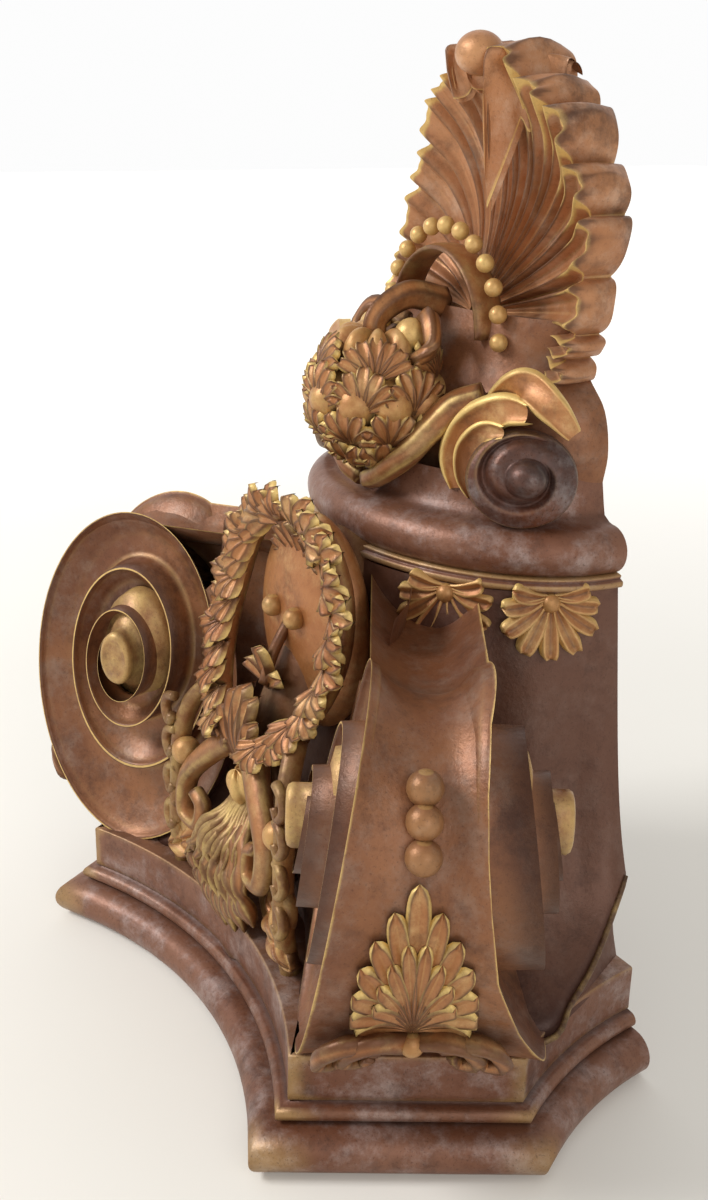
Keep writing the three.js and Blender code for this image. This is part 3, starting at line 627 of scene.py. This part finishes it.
# Body
# Lip of the bell over the shelf, from the wall round to the middle of the front
lip_points = [(107.8, 0, 83.5), (114, -12, 70), (122, -27, 58), (128, -42, 50), (134, -60, 43),
              (108, -100, 42), (74, -128, 43), (48, -114, 50), (24, -103, 58), (0, -99, 62)]
LIP_STEPS = 60
lip = curve(lip_points, LIP_STEPS)
angles = np.linspace(0, math.pi / 2, LIP_STEPS)
neck = np.column_stack([NECK_HALF * np.cos(angles), -NECK_DEPTH * np.sin(angles),
                        np.full(LIP_STEPS, NECK_Z)])
along_lip = np.arange(LIP_STEPS)
beside = np.clip(along_lip / 9, 0, 1) * np.clip((34 - along_lip) / 10, 0, 1)
rows = []
for t in np.linspace(0, 1, 40):
    flare = mix(0.72 * t + 0.28 * t ** 5, 0.22 * t + 0.78 * t ** 7, smooth(beside))[:, None]
    row = mix(neck, lip, flare)
    row[:, 2] = mix(neck[:, 2], lip[:, 2], t)
    rows.append(row)
for t in np.linspace(0.1, 1, 8):
    inset = 1 - 0.05 * math.sin(math.pi * min(t, 0.98))
    row = lip * vec(inset, inset, 1)
    row[:, 2] = mix(lip[:, 2], SHELF_TOP - 2, t)
    rows.append(row)
body = Part()
body.grid(np.array(rows), 0.0, flip=True)
wall_edge = np.array(rows)[:, 0]
body.grid(np.stack([wall_edge * vec(0.995, 1, 1), wall_edge * vec(0, 1, 1)]) - vec(0, 0.15, 0), 0.0,
          flip=True)
body.rod(lip[:27] + vec(0, 0, -0.8), lambda t: (1.3, 1.3), 10, gold=0.5)
# The bell takes the darker copy of the bronze as painted shade
body.mirror().finish("body", painted_shade_bronze)


# Ring with its fillet
def oval(half, depth, z, count=96):
    """Half oval in front of the wall at height z."""
    a = np.linspace(0, math.pi, count)
    return np.column_stack([half * np.cos(a), -depth * np.sin(a), np.full(count, z)])


ring = Part()
# Profile as distance off the ring's oval and height
ring_profile = [(-6, FILLET_Z - 6), (-2.5, FILLET_Z - 2.2), (0, FILLET_Z - 1.4), (0.6, FILLET_Z - 0.6),
                (0.6, FILLET_Z + 0.8), (-0.4, FILLET_Z + 1.4), (-1.2, FILLET_Z + 1.8), (-0.8, FILLET_Z + 2.4),
                (-0.8, FILLET_Z + 3.2), (-3.5, FILLET_Z + 3.8)]
for deg in range(-70, 91, 10):
    ring_profile.append((RING_RADIUS * math.cos(math.radians(deg)) - 8,
                         RING_Z + RING_RADIUS * math.sin(math.radians(deg))))
ring_profile += [(-10, RING_Z + 10), (-13, RING_Z + 12), (-14, RING_Z + 16), (-16, RING_Z + 26)]
ring.grid(np.array([oval(RING_HALF + o, RING_DEPTH + o, z) for o, z in ring_profile]), 0.0, flip=True)
wall_edge = np.array([oval(RING_HALF + o, RING_DEPTH + o, z)[[0, -1]] for o, z in ring_profile])
ring.grid(wall_edge.transpose(1, 0, 2) * vec(0.99, 1, 1) - vec(0, 0.3, 0), 0.0, flip=True)
ring.finish("ring", dust_and_sheen_bronze)

# Palmettes under the ring
palmette = Part()
PALMETTE_DEGS = (23, 53)
PALMETTE_FINGERS = ((0, 25), (0.42, 24.5), (-0.42, 24.5), (0.86, 22), (-0.86, 22), (1.32, 18),
                    (-1.32, 18), (1.75, 14), (-1.75, 14))
for deg in PALMETTE_DEGS:
    c, s = math.cos(math.radians(deg)), math.sin(math.radians(deg))
    out, side = unit((c, -s, 0)), unit((s, c, 0))
    root = vec((NECK_HALF - 1) * c, -(NECK_DEPTH - 1) * s, FILLET_Z - 3)

    def on_neck(x, y, z):
        """Point on the neck below the root, x beside and y under it."""
        return root + side * x * 1.1 + out * (z + 1.5 + 0.1 * y - 0.006 * x * x) - vec(0, 0, y)

    palm(palmette, on_neck, [(turn, length, 3.7, 2.0) for turn, length in PALMETTE_FINGERS], 3.6, 0.75,
         24, 9)
    palmette.ball(root + out * 1.5 - vec(0, 0, 3), 4, 0.4)
palmette.mirror().finish("palmettes", gilded)

# Finial block
finial = Part()
# Sections from the ring up, as half-width, depth and height
finial_rows = curve([(78, 50, RING_Z + 6), (74, 46, RING_Z + 20), (76, 44, RING_Z + 36),
                     (72, 40, RING_Z + 52), (60, 34, RING_Z + 66), (62, 28, RING_Z + 84)], 30)
finial.grid(np.array([oval(*r) for r in finial_rows]), 0.0, flip=True)
wall_edge = np.array([oval(*r)[[0, -1]] * vec(0.99, 1, 1) for r in finial_rows])
finial.grid(wall_edge.transpose(1, 0, 2) - vec(0, 0.6, 0), 0.0, flip=True)
finial.finish("finial_block", bronze)

# Side scrolls
scroll = Part()
centre = vec(*SCROLL_CENTRE)
facing = unit((0.8, -0.6, 0.12))
side = unit(np.cross((0, 0, 1), facing))
upward = np.cross(facing, side)
spokes, rows = 72, 40
net = np.zeros((rows, spokes, 3))
golden = np.zeros((rows, spokes))
for i, q in enumerate(np.append(np.linspace(0.01, 1, rows - 2), (1.03, 1.0))):
    for j in range(spokes):
        a = 2 * math.pi * j / spokes
        turn = (q * SCROLL_TURNS + a / (2 * math.pi)) % 1
        groove = (math.exp(-((turn - 0.5) / 0.13) ** 2) * smooth((q - 0.3) / 0.08)
                  * (1 - smooth((q - 0.8) / 0.15)))
        dome = 7.5 * math.sqrt(max(0.0, 1 - (q / 0.4) ** 2))
        tucked = 16 if i >= rows - 1 else 5 if i == rows - 2 else 0
        out = 6 * (1 - q ** 3) + dome - 3.6 * groove - tucked
        reach = SCROLL_RADIUS * q * (1 + 0.14 * math.cos(a + 2.4) * q)
        net[i, j] = (centre + facing * out + side * reach * math.cos(a)
                     + upward * reach * math.sin(a) * 0.88)
        golden[i, j] = 0.25 * groove
scroll.grid(net, golden, wrap_v=True, flip=True)
scroll.mirror().finish("side_scrolls", blackened)

# Leaf fingers sweeping round the scrolls
scroll_leaves = Part()


def swept(part, path, half, thick, gold, count=46, cols=13):
    """Broad leaf finger along a path, hollow along its middle, with rolled gilt edges."""
    line = curve(path, count)
    net = np.zeros((count, cols, 3))
    golden = np.zeros((count, cols))
    for i in range(count):
        t = i / (count - 1)
        along = unit(line[min(i + 1, count - 1)] - line[max(i - 1, 0)])
        across = unit(np.cross(along, facing))
        out = unit(np.cross(across, along))
        width = half * math.sqrt(max(0.0, math.sin(math.pi * min(max(t * 0.88 + 0.08, 0), 1))))
        for j, v in enumerate(np.linspace(-1, 1, cols)):
            lift = thick * (0.35 + 0.65 * abs(v) ** 2.5) * (1 if abs(v) < 0.99 else -0.9)
            net[i, j] = line[i] + across * max(width, 0.2) * v + out * lift
            golden[i, j] = gold * (0.25 + 0.75 * abs(v) ** 2)
    part.grid(net, golden)


# Each with its half-width, thickness, gold and path
SWEPT_LEAVES = (
    (7.5, 3.6, 0.9, [(72, -36, 268), (60, -40, 267), (46, -44, 258), (40, -46, 246), (42, -46, 234)]),
    (5.0, 4.0, 0.9, [(64, -40, 260), (54, -43, 258), (47, -45, 250), (46, -45, 240), (50, -44, 232)]),
    (6.5, 3.2, 0.7, [(86, -26, 262), (80, -32, 271), (66, -34, 277), (54, -36, 270), (50, -38, 260)]))
for half, thick, gold, path in SWEPT_LEAVES:
    swept(scroll_leaves, path, half, thick, gold)
scroll_leaves.rod(curve([(44, -36, 268), (36, -44, 264), (30, -52, 254), (24, -58, 244), (12, -62, 234),
                         (2, -62, 230)], 44),
                  lambda t: (6.2 + 2.6 * math.sin(math.pi * t) - 3 * t, 6.5 - 2.5 * t), 18, gold=0.6,
                  ridges=5, relief=0.05)
scroll_leaves.mirror().finish("scroll_leaves", gilded)

# Rosette: a bud under rows of small leaves, with curls over it
rosette = Part()
hub = vec(0, -ROSETTE_DEPTH, ROSETTE_Z)


def bud_shape(t, a):
    """Rows of rounded bumps, each row set between those of the next."""
    row = math.sin(t * 3) ** 2
    shift = (int(t * 3 / math.pi) % 2) * math.pi / 2
    wave = abs(math.cos(a * 5 + shift))
    return 0.76 + 0.3 * row ** 0.7 * (0.35 + 0.65 * wave ** 0.7)


rosette.bead(hub, [vec(ROSETTE_RADIUS, 0, 0), vec(0, ROSETTE_RADIUS, 0), vec(0, 0, ROSETTE_RADIUS)],
             120, 72, 0.5, bud_shape)
# Rows from below, as the row's tilt over the level, its leaves and their size
LEAF_ROWS = ((-0.85, 7, 13), (-0.25, 9, 12), (0.35, 8, 11), (0.85, 5, 9))
for tilt, count, size in LEAF_ROWS:
    for i in range(count):
        a = math.pi * 2 * (i + 0.5 * (count % 2)) / count
        out = vec(math.cos(a), math.sin(a), 0)
        if out[1] > 0.6:
            continue
        start = tilt - 0.5

        def on_bud(x, y, z):
            """Point over the bud, x round it and y up from the leaf's root."""
            turn = start + y / ROSETTE_RADIUS
            around = a + x / (ROSETTE_RADIUS * max(math.cos(tilt), 0.45))
            flat = math.cos(turn)
            ray = vec(math.cos(around) * flat, math.sin(around) * flat, math.sin(turn))
            return hub + ray * (ROSETTE_RADIUS * 0.86 + z + 2.5 * math.sin(math.pi * min(y / 22, 1)))

        palm(rosette, on_bud, [(way * k * 0.36, (size + 10) * (1 - 0.1 * k), 3.6 - 0.3 * k, 2.2)
                               for k in range(4) for way in ((-1, 1) if k else (1,))], 2.8, 0.9, 20, 9)
rosette.rod(curve([(0, -26, ROSETTE_Z + 34), (0, -44, ROSETTE_Z + 38), (0, -58, ROSETTE_Z + 30),
                   (0, -56, ROSETTE_Z + 20), (0, -47, ROSETTE_Z + 24)], 40),
            lambda t: (6 - 2 * t, 5 - 2 * t), 20, gold=0.35, up=(1, 0, 0), ridges=5, relief=0.12)
for x in (-13, 13):
    rosette.ball((x, -50, ROSETTE_Z + 25), 6.5, 0.6)
    rosette.rod(curve([(x * 0.4, -40, ROSETTE_Z + 26), (x * 1.5, -46, ROSETTE_Z + 32),
                       (x * 2.1, -50, ROSETTE_Z + 22), (x * 1.6, -54, ROSETTE_Z + 16)], 24),
                lambda t: (4.5 - 2 * t, 4.5 - 2 * t), 16, gold=0.45, ridges=4, relief=0.14)
rosette.finish("rosette", gilded)

# Arch with pearls
arch = Part()
span = np.linspace(0, math.pi, 40)
arch_path = np.column_stack([ARCH_HALF * np.cos(span), np.full(len(span), ARCH_Y),
                             ARCH_Z + ARCH_RISE * np.sin(span)])
arch.rod(arch_path, lambda t: (1.8, 7), 14, up=(0, 1, 0), gold=0.45)
for i in range(PEARL_COUNT):
    a = math.pi * i / (PEARL_COUNT - 1)
    pearl = (PEARL_HALF * math.cos(a), PEARL_Y, ARCH_Z + PEARL_RISE * math.sin(a))
    arch.ball(pearl, PEARL_RADIUS, 0.55, 14, 9)
arch.finish("pearl_arch", gilded)

# Fan leaf: hollowed lobes in front, a scalloped edge and a flat back
crest = Part()
spokes = 520
levels = np.concatenate([np.linspace(0.06, 0.86, 30), [0.9, 0.94, 0.97, 0.99, 1.0]])
edge_rows = 7
front = np.zeros((spokes + 1, len(levels), 3))
golden = np.zeros((spokes + 1, len(levels)))
back = np.zeros((spokes + 1, edge_rows, 3))
back_gold = np.zeros((spokes + 1, edge_rows))
hub_z = CREST_ROOT_Z + 12


def crest_height(phase, r):
    """Height of one hollowed lobe over the face, with raised sides, creases beside it and fine ribs."""
    side = abs(2 * phase - 1)
    crease = math.exp(-((1 - side) / (0.16 + 0.1 * r)) ** 2)
    raised = math.exp(-((side - 0.62) / 0.22) ** 2)
    ribs = 0.35 * math.cos(phase * math.pi * 8)
    return (5.2 * raised + ribs - 6.0 * crease) * (0.25 + 0.75 * r) * smooth(r * 3), raised


for i in range(spokes + 1):
    s = i / spokes * 2 - 1
    a = s * CREST_SPREAD
    way = CREST_RIGHT if a > 0 else CREST_LEFT
    phase = ((s + 1) / 2 * CREST_LOBES) % 1
    notch = 0.085 if a > 0 else 0.012
    scallop = 1 - notch * abs(2 * phase - 1) ** 4 - 0.02 * math.cos(CREST_LOBES * 1.7 * s)
    reach_x = way * scallop
    reach_z = (CREST_TOP_Z - hub_z) * scallop * (1 if math.cos(a) > 0 else 0.42)
    for j, r in enumerate(levels):
        lean = CREST_LEAN * smooth(r * max(0, math.cos(a)) * 1.2 + 0.25)
        x = lean + reach_x * math.sin(a) * r
        z = hub_z + reach_z * math.cos(a) * r
        rise, raised = crest_height(phase, r)
        rise *= 1 if a > 0 else 0.55
        top = max(0.0, math.cos(a)) ** 1.5
        bow = CREST_THICKNESS - 6 * math.sin(math.pi * r) + 13 * r ** 4 * top
        curl = 3.0 * smooth((r - 0.8) / 0.2)
        front[i, j] = (x, -(bow + rise + curl), z)
        worn = 0.75 if a > 0 else 0.2
        golden[i, j] = 0.75 * smooth((r - 0.955) / 0.03) + worn * raised ** 2 * smooth((r - 0.5) / 0.35)
    rim = front[i, -1]
    for k in range(edge_rows):
        t = k / (edge_rows - 1)
        swell = 1 + 0.045 * math.sin(math.pi * t) * (1 - abs(2 * phase - 1))
        back[i, k] = (CREST_LEAN + (rim[0] - CREST_LEAN) * swell, rim[1] * (1 - t),
                      hub_z + (rim[2] - hub_z) * swell)
        back_gold[i, k] = 0.6 if k == 0 else 0.3 * (1 - abs(2 * phase - 1))
crest.grid(front, golden)
crest.grid(back, back_gold)
crest.grid(np.stack([back[:, -1] - vec(0, 0.1, 0) + (vec(CREST_LEAN, 0, hub_z) - back[:, -1]) * 0.005,
                     np.tile(vec(CREST_LEAN, -0.1, hub_z), (spokes + 1, 1))]), 0.0)

# Hood over the top: rolls forward and hangs in tongues, each with its place, length and half-width
TONGUES = ((7, 15, 9), (32.5, 52, 4.8), (39.5, 41, 3.4), (47.5, 30, 3.6), (22, 12, 6))
across, down = 150, 44
hood = np.zeros((across, down, 3))
hood_gold = np.zeros((across, down))
for i in range(across):
    x = mix(HOOD_LEFT, HOOD_RIGHT, i / (across - 1))
    ends = smooth(5 * i / (across - 1)) * smooth(4 * (1 - i / (across - 1)))
    top = HOOD_TOP_Z - 0.0058 * (x - 16) ** 2
    drop = max([7.0] + [deep * math.exp(-abs((x - at) / wide) ** 2.4) for at, deep, wide in TONGUES])
    fold = 2.6 * math.cos((x - 7) * 2 * math.pi / 12.7) + 1.2 * math.cos(x * 0.9 + 1)
    forward = HOOD_REACH - 0.0035 * (x - 28) ** 2
    for j in range(down):
        t = j / (down - 1)
        over, hang = smooth(t / 0.45), max(0.0, (t - 0.38) / 0.62)
        y = -mix(3, mix(8, forward, ends), over) - fold * over * ends + 5 * hang ** 2 * ends
        z = top + 4.5 * math.sin(math.pi * min(t / 0.6, 1)) - mix(3, drop, ends) * hang ** 1.1
        hood[i, j] = (x + 1.5 * math.sin(hang * 3) * math.cos(x), y, z)
        hood_gold[i, j] = 0.7 * smooth((t - 0.955) / 0.03)
crest.grid(hood, hood_gold, flip=True)
crest.grid(hood + vec(0, 2.2, -1.2))
KNOB_CENTRE = (22, -30, 391.5)
crest.bead(KNOB_CENTRE, [vec(9.5, 0, 0), vec(0, 9, 0), vec(0, 0, 8)], 28, 18)
# The fan leaf takes the lighter copy of the bronze as painted light
crest.finish("fan_crest", painted_light_bronze)

# Frame of the cartouche: a rod with leaves round it, curls below and a stem at each side
frame_part = Part()
outline = curve([(5, -94, 218), (22, -93, 214), (38, -94, 198), (44, -97, 178), (43, -103, 158),
                 (34, -110, 141), (18, -117, 127), (8, -119, 120)], 90)
frame_part.rod(outline, lambda t: (3.4 - 0.6 * t, 5.5 - 1.5 * t), 18, up=(0, 1, 0), gold=0.55, ridges=3,
               relief=0.1)
FRAME_FINGERS = ((0, 16, 3.8, 1.0), (0.55, 14.5, 3.4, 1.6), (-0.55, 14.5, 3.4, 1.6),
                 (1.1, 11.5, 3, 1.0), (-1.1, 11.5, 3, 1.0))
for n, i in enumerate(range(3, 86, 7)):
    point = outline[i]
    ahead = unit(outline[i + 3] - outline[i - 3])
    away = unit(np.cross(ahead, (0, -1, 0)))
    if away[0] < 0:
        away = -away
    size = 1.15 - 0.35 * i / 90
    lean = 0.75 if n % 2 else 0.35
    outward = away * math.cos(lean) + ahead * math.sin(lean)
    beside = ahead * math.cos(lean) - away * math.sin(lean)
    bulge = 5.5 if n % 2 else 3.5
    palm(frame_part, lambda x, y, z: point - outward * 5 + outward * y + beside * x
         + vec(0, -2 - z - bulge * math.sin(math.pi * min(y / 17, 1)), 0),
         [(turn, length * size, half * size, lift) for turn, length, half, lift in FRAME_FINGERS],
         2.8, 0.85, 20, 9)
frame_part.rod(curve([(10, -117, 121), (24, -122, 109), (37, -126, 94), (36, -128, 78), (24, -127, 76),
                      (22, -126, 86), (29, -126, 90)], 60),
               lambda t: (6 - 3.4 * t, 6 - 2.4 * t), 16, gold=0.55, up=(0, 1, 0), ridges=3, relief=0.1)
frame_part.ball((43, -124, 103), 6.5, 0.5)
frame_part.rod(curve([(12, -112, 60), (28, -118, 56), (45, -122, 62), (52, -124, 76),
                      (44, -124, 84)], 40), lambda t: (6 - 3 * t, 5 - 2 * t), 14, gold=0.5, up=(0, 1, 0))
frame_part.leaf([(20, -112, 66), (36, -122, 62), (50, -126, 54), (58, -124, 50)], (0, -1, 0.2),
                half=9, lobes=3.5, thick=4, gold=0.6)
frame_part.rod(curve([(36, -112, 138), (44, -120, 126), (48, -124, 108), (49, -125, 85), (50, -125, 62),
                      (51, -122, 42)], 40), lambda t: (3.6, 4.6), 12, up=(0, 1, 0), gold=0.5)
for z in (120, 104, 86, 68):
    frame_part.rod(curve([(47, -127, z + 8), (53, -128, z + 6), (55, -128, z), (51, -128, z - 5),
                          (48, -128, z - 1)], 22), lambda t: (2.2, 2.4), 10, up=(0, 1, 0), gold=0.5)
frame_part.mirror().finish("cartouche_frame", gilded)

# Field of the cartouche with its two beads and bud, and the tail leaf hanging below
front_part = Part()
FIELD_CENTRE, FIELD_HALF, FIELD_BULGE, FIELD_RISE = (0, -84, 172), 38, 14, 46
front_part.bead(FIELD_CENTRE, [vec(FIELD_HALF, 0, 0), vec(0, FIELD_BULGE, 0), vec(0, 0, FIELD_RISE)],
                60, 40, 0.05)
front_part.rod([(0, -60, 205), (0, -84, 165), (0, -100, 125), (0, -106, 95), (0, -97, 61)],
               lambda t: (15, 12), 20)
for x in (-9, 9):
    front_part.ball((x, -99, 178), 4.6, 0.5)
front_part.rod(curve([(0, -96, 174), (0, -103, 162), (0, -108, 148)], 14), lambda t: (2.4, 2.4), 12,
               gold=0.4)
palm(front_part, lambda x, y, z: vec(x, -105 - z - 0.15 * y, 146 + y),
     [(0, 19, 4.2, 2), (1.0, 16, 4, 2), (-1.0, 16, 4, 2)], 4, 0.75, 20, 9)
palm(front_part, lambda x, y, z: vec(x, -112 - z - 7 * math.sin(math.pi * min(y / 46, 1)), 104 + y),
     [(0, 46, 4.6, 3), (0.17, 43, 4.2, 2), (-0.17, 43, 4.2, 2), (0.36, 36, 4, 1.5), (-0.36, 36, 4, 1.5),
      (0.62, 27, 3.6, 1), (-0.62, 27, 3.6, 1)], 4.6, 0.6)
front_part.bead((0, -118, 104), [vec(8, 0, 0), vec(0, 6, 3), vec(0, -3, 8)], 48, 24, 0.6,
                lambda t, a: 0.82 + 0.2 * abs(math.cos(2.5 * a)))
for k in range(-6, 7):
    spread = k / 6
    front_part.rod(curve([(spread * 3, -108, 100), (spread * 11, -122, 88),
                          (spread * 20 + 2.5 * (-1) ** k, -130, 74),
                          (spread * 25, -131, 58 + 8 * spread * spread),
                          (spread * 25 + 2, -127, 42 + 13 * spread * spread + 3 * (k % 2))], 34),
                   lambda t: ((3.9 - 1.5 * t) * (1 + 0.3 * math.sin(t * 21)),
                              4.4 - 2.2 * t + 1.1 * math.sin(t * 16)),
                   10, gold=0.6, ridges=3, relief=0.25)
palm(front_part, lambda x, y, z: vec(x, -86 - z - 0.35 * y, 190 + y),
     [(way * k * 0.4, 27 - 2.2 * k, 4.4, 2.5) for k in range(5) for way in ((-1, 1) if k else (1,))],
     4, 0.7, 24, 9)
front_part.finish("front_ornament", gilded)

# Pale table
FLOOR_HALF = 6.0
FLOOR_CORNERS = ((-1, -1), (1, -1), (1, 1), (-1, 1))
floor_mesh = bpy.data.meshes.new("floor")
floor_mesh.from_pydata([(x * FLOOR_HALF, y * FLOOR_HALF, 0) for x, y in FLOOR_CORNERS], [],
                       [(0, 1, 2, 3)])
floor = bpy.data.objects.new("floor", floor_mesh)
bpy.context.collection.objects.link(floor)
floor_material = bpy.data.materials.new("pale_table")
floor_material.use_nodes = True
tree = floor_material.node_tree
coord = tree.nodes.new("ShaderNodeTexCoord").outputs["Object"]
far = tree.nodes.new("ShaderNodeVectorMath")
far.operation = "LENGTH"
tree.links.new(coord, far.inputs[0])
GLOW_START, GLOW_END = 0.1, 1.6
distance = ramp(tree, far.outputs["Value"], GLOW_START, GLOW_END)
floor_shader = tree.nodes["Principled BSDF"]
tree.links.new(colour_mix(tree, noise(tree, coord, 3.0), srgb(226, 223, 217), srgb(219, 216, 209)),
               floor_shader.inputs["Base Color"])
floor_shader.inputs["Roughness"].default_value = 0.7
# Painted light: the table glows, faintly near the console and more strongly further off
tree.links.new(colour_mix(tree, distance, (0.1, 0.098, 0.09, 1.0), (0.6, 0.6, 0.6, 1.0)),
               floor_shader.inputs["Emission Color"])
floor_shader.inputs["Emission Strength"].default_value = 1.0
floor_mesh.materials.append(floor_material)

# Camera: its place is in multiples of the unit from the back plane
UNIT = 0.138
CAMERA_AZIMUTH, CAMERA_PITCH, CAMERA_ROLL = map(math.radians, (58.537, 20.038, 1.246))
CAMERA_PLACE = vec(3.38967, -2.547658, 2.73461) * UNIT + vec(0, WALL_Y, 0)
FOCAL_PIXELS, PICTURE_HEIGHT, SENSOR = 1394.023, 1200.0, 36.0
camera_data = bpy.data.cameras.new("camera")
camera_data.sensor_width = SENSOR
camera_data.lens = FOCAL_PIXELS / PICTURE_HEIGHT * SENSOR
camera_data.clip_start = 0.01
camera = bpy.data.objects.new("camera", camera_data)
bpy.context.collection.objects.link(camera)
backward = vec(math.sin(CAMERA_AZIMUTH) * math.cos(CAMERA_PITCH),
               -math.cos(CAMERA_AZIMUTH) * math.cos(CAMERA_PITCH), math.sin(CAMERA_PITCH))
rightward = vec(math.cos(CAMERA_AZIMUTH), math.sin(CAMERA_AZIMUTH), 0)
upright = np.cross(rightward, -backward)
turned_right = math.cos(CAMERA_ROLL) * rightward + math.sin(CAMERA_ROLL) * upright
turned_up = -math.sin(CAMERA_ROLL) * rightward + math.cos(CAMERA_ROLL) * upright
matrix = Matrix.Identity(4)
for k, axis in enumerate((turned_right, turned_up, backward, CAMERA_PLACE)):
    for row in range(3):
        matrix[row][k] = float(axis[row])
camera.matrix_world = matrix
bpy.context.scene.camera = camera

# Surroundings: white behind the console as the camera sees it, light grey elsewhere
world = bpy.data.worlds.new("studio")
bpy.context.scene.world = world
world.use_nodes = True
world_tree = world.node_tree
toward = world_tree.nodes.new("ShaderNodeVectorMath")
toward.operation = "DOT_PRODUCT"
world_tree.links.new(world_tree.nodes.new("ShaderNodeTexCoord").outputs["Generated"], toward.inputs[0])
BACKDROP_DIRECTION = (-0.85, 0.52, 0.0)
toward.inputs[1].default_value = BACKDROP_DIRECTION
world_tree.links.new(colour_mix(world_tree, ramp(world_tree, toward.outputs["Value"], 0.2, 0.7),
                                (0.56, 0.55, 0.53, 1.0), (0.98, 0.98, 0.98, 1.0)),
                     world_tree.nodes["Background"].inputs["Color"])
bpy.context.scene.view_settings.view_transform = "Standard"


def area(name, place, target, size, power, colour=(1, 1, 1)):
    """Square lamp at a place, turned to a target."""
    light = bpy.data.lights.new(name, "AREA")
    light.size = size
    light.energy = power
    light.color = colour
    lamp = bpy.data.objects.new(name, light)
    bpy.context.collection.objects.link(lamp)
    lamp.location = place
    lamp.rotation_euler = (Vector(target) - Vector(place)).to_track_quat("-Z", "Y").to_euler()


MIDDLE = (0, 0, 0.2)
area("key", (-0.5, -1.2, 1.2), MIDDLE, size=0.6, power=21)
area("fill", (1.4, -0.3, 0.7), MIDDLE, size=0.9, power=5, colour=(1, 0.96, 0.92))
